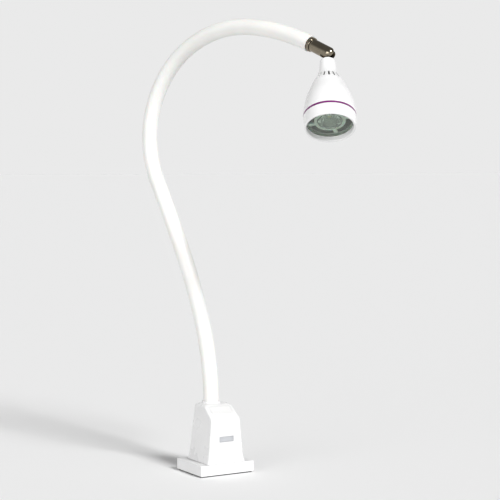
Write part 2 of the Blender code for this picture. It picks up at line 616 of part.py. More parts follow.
def build_knuckle(end):
    """Chromed ball knuckle. Returns the frame at the ball with Z along the head's axis."""
    bore = FITTING_LEAD_BORE
    shank = [(SHANK_RADIUS, -SHANK_LENGTH), (SHANK_RADIUS, END_COLLAR_LENGTH + SPIGOT_LENGTH),
             (bore, END_COLLAR_LENGTH + SPIGOT_LENGTH), (bore, -SHANK_LENGTH)]
    add("upper_fitting", turned(shank, SMALL * 2), (0.6, 0.6, 0.6), 0.3, 1.0, parent=end)
    edge = 0.8 * MM
    ring = [(SHANK_RADIUS + GAP, GAP), (COLLAR_RADIUS - edge, GAP), (COLLAR_RADIUS, GAP + edge),
            (COLLAR_RADIUS, END_COLLAR_LENGTH - edge), (COLLAR_RADIUS - edge, END_COLLAR_LENGTH),
            (SHANK_RADIUS + GAP, END_COLLAR_LENGTH)]
    add("end_collar", turned(ring), (0.35, 0.34, 0.33), 0.2, 1.0, parent=end)

    axis = empty("knuckle_turn_axis", end, turn(HEAD_TURN, "Z"))
    rear = END_COLLAR_LENGTH + GAP
    chamber = rear + SPIGOT_LENGTH + 2 * GAP
    chamber_radius = SLEEVE_RADIUS - SLEEVE_WALL
    dome = BALL_DISTANCE + NOSE_BEYOND_BALL
    outside = sphere_profile(SLEEVE_RADIUS, dome, 0, 90, 6)
    inside = sphere_profile(chamber_radius, dome, 90, 0, 6)
    sleeve = add("knuckle_sleeve", turned(
        outside + [(SLEEVE_RADIUS, rear), (SHANK_RADIUS + GAP, rear), (SHANK_RADIUS + GAP, chamber),
                   (chamber_radius, chamber)] + inside),
        (0.32, 0.30, 0.28), 0.15, 1.0, parent=axis)
    slot_low = BALL_DISTANCE - SLOT_BEHIND_BALL
    slot_high = dome + 2 * SLEEVE_RADIUS
    slot = block((4 * SLEEVE_RADIUS, SLOT_WIDTH, slot_high - slot_low), (0, 0, (slot_low + slot_high) / 2))
    cut(sleeve, tool_object("cut_sleeve_slot", slot, parent=axis))

    pad_radius = chamber_radius - GAP
    cup = BALL_RADIUS + GAP
    rim_angle = 180 - math.degrees(math.asin((pad_radius - 1 * MM) / cup))
    bore_angle = 180 - math.degrees(math.asin(bore / cup))
    hollow = sphere_profile(cup, BALL_DISTANCE, rim_angle, bore_angle, 4)
    pad_front = hollow[0][1]
    pad_back = pad_front - PAD_LENGTH
    add("ball_pad", turned([(pad_radius, pad_front)] + hollow + [(bore, pad_back), (pad_radius, pad_back)]),
        (0.8, 0.8, 0.76), 0.5, parent=axis)
    spring_high = pad_back - GAP
    spring_low = max(chamber + GAP, spring_high - SPRING_LENGTH)
    spring = pipe(pad_radius - GAP, SHANK_RADIUS - 1 * MM, spring_low, spring_high)
    add("pad_spring", spring, (0.5, 0.5, 0.5), 0.35, 1.0, parent=axis)

    tilt = empty("head_tilt_axis", axis, at(0, 0, BALL_DISTANCE) @ turn(HEAD_TILT, "Y"))
    shoulder = HEAD_DROP - GAP
    stud_end = HEAD_DROP + BUSHING_LENGTH + NUT_HEIGHT + 4 * GAP
    contact = math.degrees(math.asin(STUD_RADIUS / BALL_RADIUS))
    ball = sphere_profile(BALL_RADIUS, 0, 180, contact, 9)
    stud = ball + [(STUD_RADIUS, stud_end), (0, stud_end)]
    add("ball_stud", turned(stud), (0.75, 0.75, 0.76), 0.12, 1.0, parent=tilt)
    nut_low = HEAD_DROP + HEAD_WALL + BUSHING_LENGTH + GAP
    across = (STUD_RADIUS + GAP) / math.cos(math.pi / 6)
    add("stud_nut", pipe(NUT_RADIUS, across, nut_low, nut_low + NUT_HEIGHT, 6),
        (0.6, 0.6, 0.6), 0.3, 1.0, parent=tilt)
    return tilt


# ======================================================================== lamp head

def head_radius(from_rim):
    """Outer radius of the head, by a smooth curve through its stations."""
    rows = HEAD_STATIONS
    last = len(rows) - 1
    k = max(i for i in range(last) if rows[i][0] <= from_rim or i == 0)
    (t0, r0), (t1, r1) = rows[k], rows[k + 1]
    before, after = rows[max(0, k - 1)], rows[min(last, k + 2)]
    slope0 = (r1 - before[1]) / (t1 - before[0])
    slope1 = (after[1] - r0) / (after[0] - t0)
    width = t1 - t0
    u = min(1.0, max(0.0, (from_rim - t0) / width))
    return (r0 * (1 + 2 * u) * (1 - u) ** 2 + r1 * u * u * (3 - 2 * u)
            + slope0 * width * u * (1 - u) ** 2 - slope1 * width * u * u * (1 - u))


def along(from_rim):
    """Distance from the ball's centre of a place given from the front rim."""
    return HEAD_DROP + HEAD_LENGTH - from_rim


def outline(start, end, steps, inset=0.0):
    """Points of the head's outline between two distances from the rim."""
    places = [start + (end - start) * i / steps for i in range(steps + 1)]
    return [(head_radius(t) - inset, along(t)) for t in places]


def build_shell(head):
    ring_back = RING_FROM_RIM + RING_WIDTH / 2
    shell_front = ring_back + GAP
    top = HEAD_LENGTH
    outside = outline(shell_front, top - NECK_EDGE, 14)
    crown = head_radius(top)
    outside += [(crown - NECK_EDGE * 0.3, along(top - NECK_EDGE * 0.3)), (crown - NECK_EDGE, along(top))]
    hole = STUD_RADIUS + 3 * GAP
    inside = outline(top - HEAD_WALL, shell_front, 11, HEAD_WALL)
    profile = outside + [(hole, along(top)), (hole, along(top - HEAD_WALL))] + inside
    shell = add("head_shell", turned(profile, 28), (0.9, 0.9, 0.9), 0.25, parent=head)
    for i in range(VENT_COUNT):
        slot = block((VENT_REACH, VENT_WIDTH, VENT_LENGTH),
                     (head_radius(VENT_FROM_RIM), 0, along(VENT_FROM_RIM)))
        spot = turn(360 * (i + 0.5) / VENT_COUNT, "Z")
        cut(shell, tool_object(f"cut_vent_{i + 1}", slot, parent=head, place=spot))

    ring_front = RING_FROM_RIM - RING_WIDTH / 2
    ring = outline(ring_front, ring_back, 2) + outline(ring_back, ring_front, 1, RING_WALL)
    add("accent_ring", turned(ring, 28), (0.25, 0.02, 0.2), 0.35, parent=head)

    bezel_back = ring_front - GAP
    seat = RECESS_DEPTH + GLASS_THICKNESS + 2 * GAP + SEAL_THICKNESS
    inner = head_radius(0) - RIM_LIP
    ledge_back = along(seat + HEAD_WALL)
    bezel = outline(0, HEAD_STATIONS[1][0], 1) + outline(2 * HEAD_WALL, bezel_back, 5)
    bezel += [(head_radius(bezel_back) - HEAD_WALL, along(bezel_back)),
              (head_radius(seat) - HEAD_WALL, ledge_back), (inner - GLASS_LEDGE, ledge_back),
              (inner - GLASS_LEDGE, along(seat)), (inner, along(seat)), (inner, along(0))]
    add("front_bezel", turned(bezel, 28), (0.9, 0.9, 0.9), 0.25, parent=head)
    return inner, seat


def build_optics(head, inner, seat):
    glass_radius = inner - GAP
    glass_front, glass_back = RECESS_DEPTH, RECESS_DEPTH + GLASS_THICKNESS
    add("front_glass", turned([(0, along(glass_front)), (glass_radius, along(glass_front)),
                               (glass_radius, along(glass_back)), (0, along(glass_back))], 28),
        (0.75, 0.82, 0.78), 0.08, parent=head)
    add("glass_seal", pipe(glass_radius, inner - GLASS_LEDGE, along(glass_back + GAP),
                           along(seat - GAP), 28), (0.05, 0.05, 0.05), 0.7, parent=head)

    holder_front = seat + GAP
    holder_back = holder_front + HOLDER_THICKNESS
    spoke_reach = inner - GLASS_LEDGE - GAP
    spoke_root = HOLDER_OUTER - WELD
    holder_middle = along((holder_front + holder_back) / 2)
    holder = add("lens_holder", pipe(HOLDER_OUTER, HOLDER_INNER, along(holder_back), along(holder_front)),
                 (0.8, 0.84, 0.8), 0.4, parent=head)
    for i in range(SPOKE_COUNT):
        spoke = block((spoke_reach - spoke_root, SPOKE_WIDTH, SPOKE_THICKNESS),
                      ((spoke_reach + spoke_root) / 2, 0, holder_middle))
        spot = turn(360 * i / SPOKE_COUNT, "Z")
        cut(holder, tool_object(f"spoke_{i + 1}", spoke, parent=head, place=spot), "UNION")
    lens_back = holder_front + LENS_DEPTH
    lens = [(0, along(holder_front)), (LENS_RADIUS, along(holder_front)),
            (LENS_RADIUS, along(holder_front + LENS_RIM)), (LENS_BACK_RADIUS, along(lens_back)),
            (0, along(lens_back))]
    add("collimator_lens", turned(lens), (0.7, 0.75, 0.7), 0.1, parent=head)
    chip_front = lens_back + GAP
    add("led_chip", rod(CHIP_RADIUS, along(chip_front + CHIP_THICKNESS), along(chip_front)),
        (0.85, 0.75, 0.2), 0.4, parent=head)
    board_front = chip_front + CHIP_THICKNESS + GAP
    board_back = board_front + BOARD_THICKNESS
    board = add("led_board", rod(BOARD_RADIUS, along(board_back), along(board_front), ROUND),
                (0.8, 0.8, 0.78), 0.4, parent=head)
    sink_front = board_back + GAP
    sink_back = sink_front + SINK_LENGTH
    bore = LEAD_RADIUS + 0.5 * MM
    sink = add("heat_sink", pipe(SINK_CORE_RADIUS, bore, along(sink_back), along(sink_front)),
               (0.7, 0.7, 0.71), 0.4, 1.0, parent=head)
    flange_back = along(sink_front + SINK_FLANGE)
    flange = pipe(BOARD_RADIUS, bore, flange_back, along(sink_front))
    cut(sink, tool_object("sink_flange", flange, parent=head), "UNION")
    tip = head_radius(sink_back) - HEAD_WALL - SINK_CLEARANCE
    for i in range(SINK_FINS):
        length = tip - SINK_CORE_RADIUS + WELD
        fin = block((length, FIN_THICKNESS, SINK_LENGTH - WELD),
                    (tip - length / 2, 0, along((sink_front + sink_back) / 2)))
        spot = turn(360 * (i + 0.5) / SINK_FINS, "Z")
        cut(sink, tool_object(f"fin_{i + 1}", fin, parent=head, place=spot), "UNION")
    head_low = along(board_front - GAP)
    head_high = along(board_front - GAP - BOARD_SCREW_HEAD)
    screw_end = flange_back + GAP
    for i in (1, 2):
        spot = turn(180 * (i - 1) + BOARD_SCREW_TURN, "Z") @ at(BOARD_SCREW_CIRCLE, 0, 0)
        hole = rod(SCREW_RADIUS + GAP, flange_back - GAP, head_high)
        hole_tool = tool_object(f"cut_board_screw_{i}", hole, parent=head, place=spot)
        cut(board, hole_tool)
        cut(sink, hole_tool)
        screw = turned([(0, screw_end), (SCREW_RADIUS, screw_end), (SCREW_RADIUS, head_low),
                        (SCREW_HEAD_RADIUS, head_low), (SCREW_HEAD_RADIUS, head_high),
                        (0, head_high)], SMALL)
        add(f"board_screw_{i}", screw, (0.6, 0.6, 0.62), 0.3, 1.0, parent=head, place=spot)
    return board_back, sink_back


def build_head(tilt):
    head = empty("head_spin_axis", tilt)
    inner, seat = build_shell(head)
    board_back, sink_back = build_optics(head, inner, seat)
    low = HEAD_DROP + HEAD_WALL + GAP
    bushing = pipe(head_radius(HEAD_LENGTH) - HEAD_WALL - 2 * GAP, STUD_RADIUS + GAP, low,
                   HEAD_DROP + HEAD_WALL + BUSHING_LENGTH)
    add("neck_bushing", bushing, (0.75, 0.75, 0.7), 0.5, parent=head)
    nut_high = HEAD_DROP + HEAD_WALL + BUSHING_LENGTH + GAP + NUT_HEIGHT
    start, end = nut_high + 3 * MM, along(board_back + GAP)
    lead_run("head_lead", [(0, 0, start + (end - start) * i / 6) for i in range(7)], head)


# ======================================================================== assembly

clear_scene()
build_base()
build_housing()
build_switch()
build_post()
build_driver()
arm_end = build_arm()
ball = build_knuckle(arm_end)
build_head(ball)
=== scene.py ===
# %% [markdown]
# # A gooseneck examination light
#
# This lesson dresses a working model of a small medical light: a heavy base with a press switch, a white
# flexible arm, a chromed ball knuckle and a bell-shaped lamp head. The working model gives every size and
# every hinge. Here each part that shows gets its fine surface and its finish. The first cell loads the
# model and keeps the size of its box, so that the finished light can be compared with it at the end.

# %% Load the working model
import json
import math

import bmesh
import bpy
from mathutils import Matrix, Vector


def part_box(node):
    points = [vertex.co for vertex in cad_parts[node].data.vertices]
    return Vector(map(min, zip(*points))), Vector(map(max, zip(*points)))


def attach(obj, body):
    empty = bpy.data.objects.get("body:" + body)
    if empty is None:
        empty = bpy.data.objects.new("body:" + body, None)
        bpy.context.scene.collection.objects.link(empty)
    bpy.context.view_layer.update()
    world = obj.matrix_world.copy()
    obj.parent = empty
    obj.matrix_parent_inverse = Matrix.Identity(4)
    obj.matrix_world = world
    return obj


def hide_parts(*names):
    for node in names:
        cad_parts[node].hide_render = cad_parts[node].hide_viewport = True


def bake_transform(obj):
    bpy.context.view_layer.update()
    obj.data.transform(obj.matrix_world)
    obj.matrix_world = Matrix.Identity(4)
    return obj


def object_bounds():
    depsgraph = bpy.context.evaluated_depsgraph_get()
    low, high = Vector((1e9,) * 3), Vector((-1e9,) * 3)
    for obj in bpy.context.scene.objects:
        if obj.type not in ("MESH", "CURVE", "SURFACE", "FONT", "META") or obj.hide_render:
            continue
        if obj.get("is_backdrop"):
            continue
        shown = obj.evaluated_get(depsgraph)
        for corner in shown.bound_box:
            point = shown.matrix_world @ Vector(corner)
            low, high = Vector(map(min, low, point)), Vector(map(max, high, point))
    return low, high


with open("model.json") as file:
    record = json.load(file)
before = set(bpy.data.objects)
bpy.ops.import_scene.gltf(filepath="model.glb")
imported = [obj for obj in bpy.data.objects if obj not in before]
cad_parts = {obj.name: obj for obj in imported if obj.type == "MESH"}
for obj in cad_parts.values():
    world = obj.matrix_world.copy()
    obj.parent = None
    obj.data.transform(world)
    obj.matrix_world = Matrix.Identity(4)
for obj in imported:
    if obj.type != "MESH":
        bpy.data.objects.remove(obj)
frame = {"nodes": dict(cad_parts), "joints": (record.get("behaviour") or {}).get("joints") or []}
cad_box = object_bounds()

mm = 0.001
print("working model, mm:", [round((h - l) / mm) for l, h in zip(*cad_box)])

# %% [markdown]
# ## Camera
#
# A product picture is taken from a few metres away with a long lens, so that the tall arm doesn't
# splay. The camera stands front left of the base, a little above it, and looks at a point beside the
# middle of the arm. Two angles and a distance place it, and a look-at point aims it, which is easier to
# adjust than three rotations.

# %% Camera
CAMERA_AZIMUTH = -29.5
CAMERA_ELEVATION = 11.65
CAMERA_DISTANCE = 2.325
LOOK_AT = Vector((0.0558, -0.0103, 0.3379))
LENS = 108


def polar(azimuth, elevation, distance):
    """A point at an azimuth round the base, from -Y towards +X, and at an elevation above the floor."""
    a, e = math.radians(azimuth), math.radians(elevation)
    return Vector((math.sin(a) * math.cos(e), -math.cos(a) * math.cos(e), math.sin(e))) * distance


camera = bpy.data.objects.new("camera", bpy.data.cameras.new("camera"))
bpy.context.collection.objects.link(camera)
camera.location = polar(CAMERA_AZIMUTH, CAMERA_ELEVATION, CAMERA_DISTANCE)
camera.rotation_euler = (LOOK_AT - camera.location).to_track_quat("-Z", "Y").to_euler()
camera.data.lens = LENS
camera.data.sensor_width = 36
camera.data.clip_end = 200
bpy.context.scene.camera = camera
bpy.context.scene.view_settings.view_transform = "Standard"
print("camera at", [round(v, 3) for v in camera.location])

# %% [markdown]
# ## Floor, sky and lights
#
# White plastic on a pale ground only shows its shape through soft shading. The sky is even and bright
# near the horizon, where the camera looks, and darker overhead, so that the chrome has something dark to
# reflect. One broad key light from the front throws the soft shadow of the base back. A weaker fill
# light, low on the left, keeps the left sides pale and reaches into the opening of the lamp head. The
# floor's grey was found by trial: lit by all of them, it has the sky's brightness, and the horizon
# disappears.

# %% Stage
HORIZON = 0.822
ZENITH = 0.22
SKY_BRIGHT_UP_TO, SKY_DARK_FROM = 0.15, 0.60
KEY_STRENGTH, KEY_SPREAD = 2.9, 16
KEY_AZIMUTH, KEY_ELEVATION = 8, 39.5
FILL_STRENGTH, FILL_SPREAD = 1.8, 50
FILL_AZIMUTH, FILL_ELEVATION = -64, 4
FLOOR_REACH = 60
FLOOR_GREY = 0.84

world = bpy.data.worlds.new("studio")
bpy.context.scene.world = world
world.use_nodes = True
sky = world.node_tree
sky_coords = sky.nodes.new("ShaderNodeTexCoord")
sky_split = sky.nodes.new("ShaderNodeSeparateXYZ")
sky_ramp = sky.nodes.new("ShaderNodeValToRGB")
sky_ramp.color_ramp.elements[0].position = SKY_BRIGHT_UP_TO
sky_ramp.color_ramp.elements[0].color = (HORIZON, HORIZON, HORIZON, 1)
sky_ramp.color_ramp.elements[1].position = SKY_DARK_FROM
sky_ramp.color_ramp.elements[1].color = (ZENITH, ZENITH, ZENITH, 1)
sky.links.new(sky_coords.outputs["Generated"], sky_split.inputs[0])
sky.links.new(sky_split.outputs["Z"], sky_ramp.inputs[0])
sky.links.new(sky_ramp.outputs[0], sky.nodes["Background"].inputs["Color"])


def far_light(name, strength, spread_angle, azimuth, elevation):
    """A light from far away; a wide spread makes its shadows soft."""
    light = bpy.data.objects.new(name, bpy.data.lights.new(name, "SUN"))
    bpy.context.collection.objects.link(light)
    light.data.energy = strength
    light.data.angle = math.radians(spread_angle)
    light.rotation_euler = (-polar(azimuth, elevation, 1.0)).to_track_quat("-Z", "Y").to_euler()


far_light("key_light", KEY_STRENGTH, KEY_SPREAD, KEY_AZIMUTH, KEY_ELEVATION)
far_light("fill_light", FILL_STRENGTH, FILL_SPREAD, FILL_AZIMUTH, FILL_ELEVATION)

floor_mesh = bpy.data.meshes.new("floor")
floor_mesh.from_pydata([(-FLOOR_REACH, -FLOOR_REACH, 0), (FLOOR_REACH, -FLOOR_REACH, 0),
                        (FLOOR_REACH, FLOOR_REACH, 0), (-FLOOR_REACH, FLOOR_REACH, 0)], [], [(0, 1, 2, 3)])
floor = bpy.data.objects.new("floor", floor_mesh)
bpy.context.collection.objects.link(floor)
floor_finish = bpy.data.materials.new("floor_paper")
floor_finish.use_nodes = True
floor_shader = floor_finish.node_tree.nodes["Principled BSDF"]
floor_shader.inputs["Base Color"].default_value = (FLOOR_GREY, FLOOR_GREY, FLOOR_GREY, 1)
floor_shader.inputs["Roughness"].default_value = 1.0
floor_shader.inputs["Specular IOR Level"].default_value = 0.0
floor_mesh.materials.append(floor_finish)
floor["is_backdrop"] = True
print("floor grey:", FLOOR_GREY, "key and fill strength:", KEY_STRENGTH, FILL_STRENGTH)

# %% [markdown]
# ## Tools of the trade
#
# Nearly every part of this light is either turned on a lathe or swept along a line, so two small
# functions make most of the meshes. A joint of the working model has a place and an axis, and those give
# the frames in which the turned parts are drawn.

# %% Helpers for meshes
joints = {j["name"]: j for j in frame["joints"]}


def joint_place(name):
    """Where a joint of the working model sits."""
    return Vector(joints[name]["pos_m"])


def joint_axis(name):
    """The direction of a joint's axis."""
    return Vector(joints[name]["axis"]).normalized()


def frame_of(origin, z, y):
    """Matrix whose Z axis is z and whose Y axis is as near y as it can be."""
    z = z.normalized()
    x = y.cross(z).normalized()
    y = z.cross(x)
    return Matrix.Translation(origin) @ Matrix((x, y, z)).transposed().to_4x4()


def piece(name, bm, finish, body, place=None, crease=35):
    """Turn a bmesh into a smooth-shaded piece that rides on a body."""
    bmesh.ops.recalc_face_normals(bm, faces=bm.faces)
    mesh = bpy.data.meshes.new(name)
    bm.to_mesh(mesh)
    bm.free()
    if place is not None:
        mesh.transform(place)
    mesh.shade_smooth()
    mesh.set_sharp_from_angle(angle=math.radians(crease))
    mesh.materials.append(finish)
    obj = bpy.data.objects.new(name, mesh)
    bpy.context.collection.objects.link(obj)
    if body is not None:
        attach(obj, body)
    return obj


def lathe(profile, sides=96):
    """Turn a profile of (radius, height) about Z. A profile that starts and ends at radius 0 is solid."""
    bm = bmesh.new()
    rings = []
    for radius, height in profile:
        if radius < 1e-9:
            rings.append([bm.verts.new((0, 0, height))])
            continue
        turns = [2 * math.pi * i / sides for i in range(sides)]
        rings.append([bm.verts.new((radius * math.cos(a), radius * math.sin(a), height)) for a in turns])
    pairs = list(zip(rings, rings[1:]))
    if len(rings[0]) > 1:
        pairs.append((rings[-1], rings[0]))
    for low, high in pairs:
        for i in range(sides):
            j = (i + 1) % sides
            ring = (low[i % len(low)], low[j % len(low)], high[j % len(high)], high[i % len(high)])
            bm.faces.new(list(dict.fromkeys(ring)))
    return bm


def peg(radius, low, high, sides):
    """A plain round peg between two heights, to drill a hole or to weld on as a boss."""
    return lathe([(0, low), (radius, low), (radius, high), (0, high)], sides)


def arc(centre, radius, start, end, count):
    """Points on a circle in a profile; angles in degrees from the outward direction."""
    points = []
    for i in range(count + 1):
        a = math.radians(start + (end - start) * i / count)
        points.append((max(0.0, centre[0] + radius * math.cos(a)), centre[1] + radius * math.sin(a)))
    return points


def box(size, centre=(0, 0, 0), edge=0.0, segments=4):
    """A block with rounded edges."""
    bm = bmesh.new()
    bmesh.ops.create_cube(bm, size=1.0)
    for v in bm.verts:
        v.co = Vector([v.co[i] * size[i] + centre[i] for i in range(3)])
    if edge:
        bmesh.ops.bevel(bm, geom=bm.edges[:], offset=edge, segments=segments, profile=0.5, affect="EDGES")
    return bm


def carve(target, bm, place=None, operation="DIFFERENCE"):
    """Cut a shape out of a piece for good, or weld it on."""
    bmesh.ops.recalc_face_normals(bm, faces=bm.faces)
    mesh = bpy.data.meshes.new("cutter")
    bm.to_mesh(mesh)
    bm.free()
    if place is not None:
        mesh.transform(place)
    cutter = bpy.data.objects.new("cutter", mesh)
    bpy.context.collection.objects.link(cutter)
    boolean = target.modifiers.new("carve", "BOOLEAN")
    boolean.operation = operation
    boolean.object = cutter
    settled = bpy.data.meshes.new_from_object(target.evaluated_get(bpy.context.evaluated_depsgraph_get()))
    target.modifiers.remove(boolean)
    old = target.data
    target.data = settled
    settled.name = old.name + "_cut"
    bpy.data.meshes.remove(old)
    bpy.data.objects.remove(cutter)


# %% [markdown]
# ## Finishes
#
# A new plastic or painted part is never one flat colour. It has a faint unevenness in tone, a gloss that
# varies a little from place to place, and a fine texture from the mould or the spray gun. Three helpers
# add those to any shader, each from noise in the piece's own coordinates, so that nothing slides when
# the arm moves.

# %% Helpers for finishes
def finish(name, colour, roughness, metallic=0.0, **sockets):
    """A principled shader with its constant values set on its own sockets."""
    mat = bpy.data.materials.new(name)
    mat.use_nodes = True
    shader = mat.node_tree.nodes["Principled BSDF"]
    shader.inputs["Base Color"].default_value = (*colour, 1)
    shader.inputs["Roughness"].default_value = roughness
    shader.inputs["Metallic"].default_value = metallic
    for socket, value in sockets.items():
        shader.inputs[socket.replace("_", " ")].default_value = value
    return mat


def noise(mat, scale, detail, stretch):
    """Noise in the piece's own coordinates; stretch above 1 makes it finer along that axis."""
    nodes, links = mat.node_tree.nodes, mat.node_tree.links
    source = nodes.new("ShaderNodeTexCoord")
    mapping = nodes.new("ShaderNodeMapping")
    mapping.inputs["Scale"].default_value = stretch
    texture = nodes.new("ShaderNodeTexNoise")
    texture.inputs["Scale"].default_value = scale
    texture.inputs["Detail"].default_value = detail
    links.new(source.outputs["Object"], mapping.inputs["Vector"])
    links.new(mapping.outputs[0], texture.inputs["Vector"])
    return texture.outputs["Fac"]


def spread(mat, value, low, high):
    """Map noise, which mostly lies between 0.3 and 0.7, to a range of values."""
    node = mat.node_tree.nodes.new("ShaderNodeMapRange")
    node.inputs["From Min"].default_value = 0.3
    node.inputs["From Max"].default_value = 0.7
    node.inputs["To Min"].default_value = low
    node.inputs["To Max"].default_value = high
    mat.node_tree.links.new(value, node.inputs["Value"])
    return node.outputs["Result"]


def tone(mat, first, second, scale, stretch=(1, 1, 1)):
    """Let the colour wander between two close tones."""
    nodes, links = mat.node_tree.nodes, mat.node_tree.links
    ramp = nodes.new("ShaderNodeValToRGB")
    ramp.color_ramp.elements[0].position = 0.35
    ramp.color_ramp.elements[0].color = (*first, 1)
    ramp.color_ramp.elements[1].position = 0.65
    ramp.color_ramp.elements[1].color = (*second, 1)
    links.new(noise(mat, scale, 3.0, stretch), ramp.inputs["Fac"])
    links.new(ramp.outputs[0], nodes["Principled BSDF"].inputs["Base Color"])


def gloss(mat, low, high, scale, stretch=(1, 1, 1)):
    """Let the roughness wander."""
    links = mat.node_tree.links
    value = spread(mat, noise(mat, scale, 4.0, stretch), low, high)
    links.new(value, mat.node_tree.nodes["Principled BSDF"].inputs["Roughness"])


def grain(mat, scale, depth, stretch=(1, 1, 1), strength=0.3):
    """Raise a fine texture; it can be called again for a second, coarser one."""
    nodes, links = mat.node_tree.nodes, mat.node_tree.links
    shader = nodes["Principled BSDF"]
    bump = nodes.new("ShaderNodeBump")
    bump.inputs["Distance"].default_value = depth
    bump.inputs["Strength"].default_value = strength
    links.new(noise(mat, scale, 2.0, stretch), bump.inputs["Height"])
    if shader.inputs["Normal"].is_linked:
        links.new(shader.inputs["Normal"].links[0].from_socket, bump.inputs["Normal"])
    links.new(bump.outputs[0], shader.inputs["Normal"])


# %% [markdown]
# The whites differ from piece to piece: powder coat on the steel plate has a soft orange peel, the tower
# and head are moulded plastic with a finer gloss, and the arm's sleeve is slightly ivory silicone.

# %% White finishes
powder_white = finish("powder_white", (0.74, 0.74, 0.74), 0.42)
tone(powder_white, (0.72, 0.72, 0.72), (0.76, 0.76, 0.76), 18)
gloss(powder_white, 0.36, 0.50, 60)
grain(powder_white, 900, 0.00012)
grain(powder_white, 260, 0.00015, strength=0.25)

moulded_white = finish("moulded_white", (0.75, 0.75, 0.75), 0.28, Coat_Weight=0.15, Coat_Roughness=0.2)
tone(moulded_white, (0.735, 0.735, 0.735), (0.765, 0.765, 0.765), 14)
gloss(moulded_white, 0.24, 0.34, 35)
grain(moulded_white, 1500, 0.00005)

button_white = finish("button_white", (0.71, 0.71, 0.705), 0.38)
tone(button_white, (0.695, 0.695, 0.69), (0.725, 0.725, 0.72), 40)
gloss(button_white, 0.34, 0.44, 90)
grain(button_white, 1800, 0.00006)

lamp_white = finish("lamp_white", (0.78, 0.78, 0.78), 0.22, Coat_Weight=0.3, Coat_Roughness=0.12)
tone(lamp_white, (0.765, 0.765, 0.765), (0.795, 0.795, 0.795), 16)
gloss(lamp_white, 0.18, 0.27, 30)
grain(lamp_white, 700, 0.00005, strength=0.2)

print("white finishes:", [m.name for m in (powder_white, moulded_white, button_white, lamp_white)])

# %% [markdown]
# ## Base plate and foot pad
#
# A steel plate is cut and ground with only a fine break on its edges, so a block with a small rounded
# bevel is the honest way to make it: the flat faces stay flat and the edge catches one thin line of
# light. The holes for the screws and the bolt are really drilled from below, and the rubber pad that
# covers them is grooved for grip.

# %% Base plate and foot pad
PLATE = (92 * mm, 77 * mm)
PLATE_TOP = 18 * mm
PAD = 1.5 * mm
GAP = 0.3 * mm
SCREW_PLACES = [(sx * 24.5 * mm, y * mm) for y in (-28, 25) for sx in (-1, 1)]
NECK_Y = 13 * mm
SCREW_HOLE, SCREW_HEAD_HOLE = 1.8 * mm, 3.3 * mm
BOLT_HOLE, BOLT_HEAD_HOLE, BOLT_HEAD_DEEP = 5.3 * mm, 8.3 * mm, 7.4 * mm
THROUGH = 30 * mm

plate_low = PAD + GAP
plate_height = PLATE_TOP - plate_low
plate_block = box((*PLATE, plate_height), (0, 0, plate_low + plate_height / 2), 0.8 * mm)
plate = piece("base_plate_painted", plate_block, powder_white, "root")
for x, y in SCREW_PLACES:
    sink = lathe([(0, 0), (SCREW_HEAD_HOLE, 0), (SCREW_HEAD_HOLE, 4.8 * mm), (SCREW_HOLE, 6.2 * mm),
                  (SCREW_HOLE, THROUGH), (0, THROUGH)], 32)
    carve(plate, sink, Matrix.Translation((x, y, 0)))
sink = lathe([(0, 0), (BOLT_HEAD_HOLE, 0), (BOLT_HEAD_HOLE, BOLT_HEAD_DEEP), (BOLT_HOLE, BOLT_HEAD_DEEP),
              (BOLT_HOLE, THROUGH), (0, THROUGH)], 48)
carve(plate, sink, Matrix.Translation((0, NECK_Y, 0)))
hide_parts("base_plate")

rubber = finish("moulded_rubber", (0.022, 0.022, 0.023), 0.8)
tone(rubber, (0.018, 0.018, 0.019), (0.032, 0.032, 0.033), 90)
gloss(rubber, 0.7, 0.9, 120)
grain(rubber, 1200, 0.0002)
PAD_MARGIN = 2.5 * mm
GROOVE, GROOVE_SPACING, GROOVES = (80 * mm, 1.6 * mm, 1 * mm), 7.5 * mm, 9
pad_block = box((PLATE[0] - 2 * PAD_MARGIN, PLATE[1] - 2 * PAD_MARGIN, PAD), (0, 0, PAD / 2), 0.35 * mm, 3)
pad = piece("foot_pad_grooved", pad_block, rubber, "root")
for i in range(GROOVES):
    carve(pad, box(GROOVE, (0, GROOVE_SPACING * (i - GROOVES // 2), 0)))
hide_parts("foot_pad")
print("plate, mm:", [round(v / mm, 1) for v in plate.dimensions], "grooves:", GROOVES)

# %% [markdown]
# ## Tower
#
# The moulded tower leans in on every side, flares a little where it meets the plate and has a sloping
# face for the switch. Its outline at any height is a rectangle with rounded corners, so a loft through
# many such outlines makes the body, and the leaning, the flare and the slope are each one short term in
# the function of height. The front edge changes softly from upright to sloping with a smooth maximum,
# which is easier to control than a bevel on that long edge.

# %% Tower outline
TOWER_TOP = 104 * mm
WALL = 2.6 * mm
HALF_WIDTH, FRONT, BACK = 31 * mm, -35.2 * mm, 34.1 * mm
SIDE_LEAN, FRONT_LEAN, BACK_LEAN = 0.0895, 0.009, 0.080
FLARE_HEIGHT, FLARE_REACH = 12 * mm, 1.8 * mm
ROOF_EDGE = 4 * mm
SLOPE_FOOT, SLOPE_RUN, SLOPE_RISE = 84.6 * mm, 23.4 * mm, 17.1 * mm
SLOPE_BLEND = 2.2 * mm
BACK_CORNER, FRONT_CORNER, CORNER_STEPS = 9 * mm, 4 * mm, 10


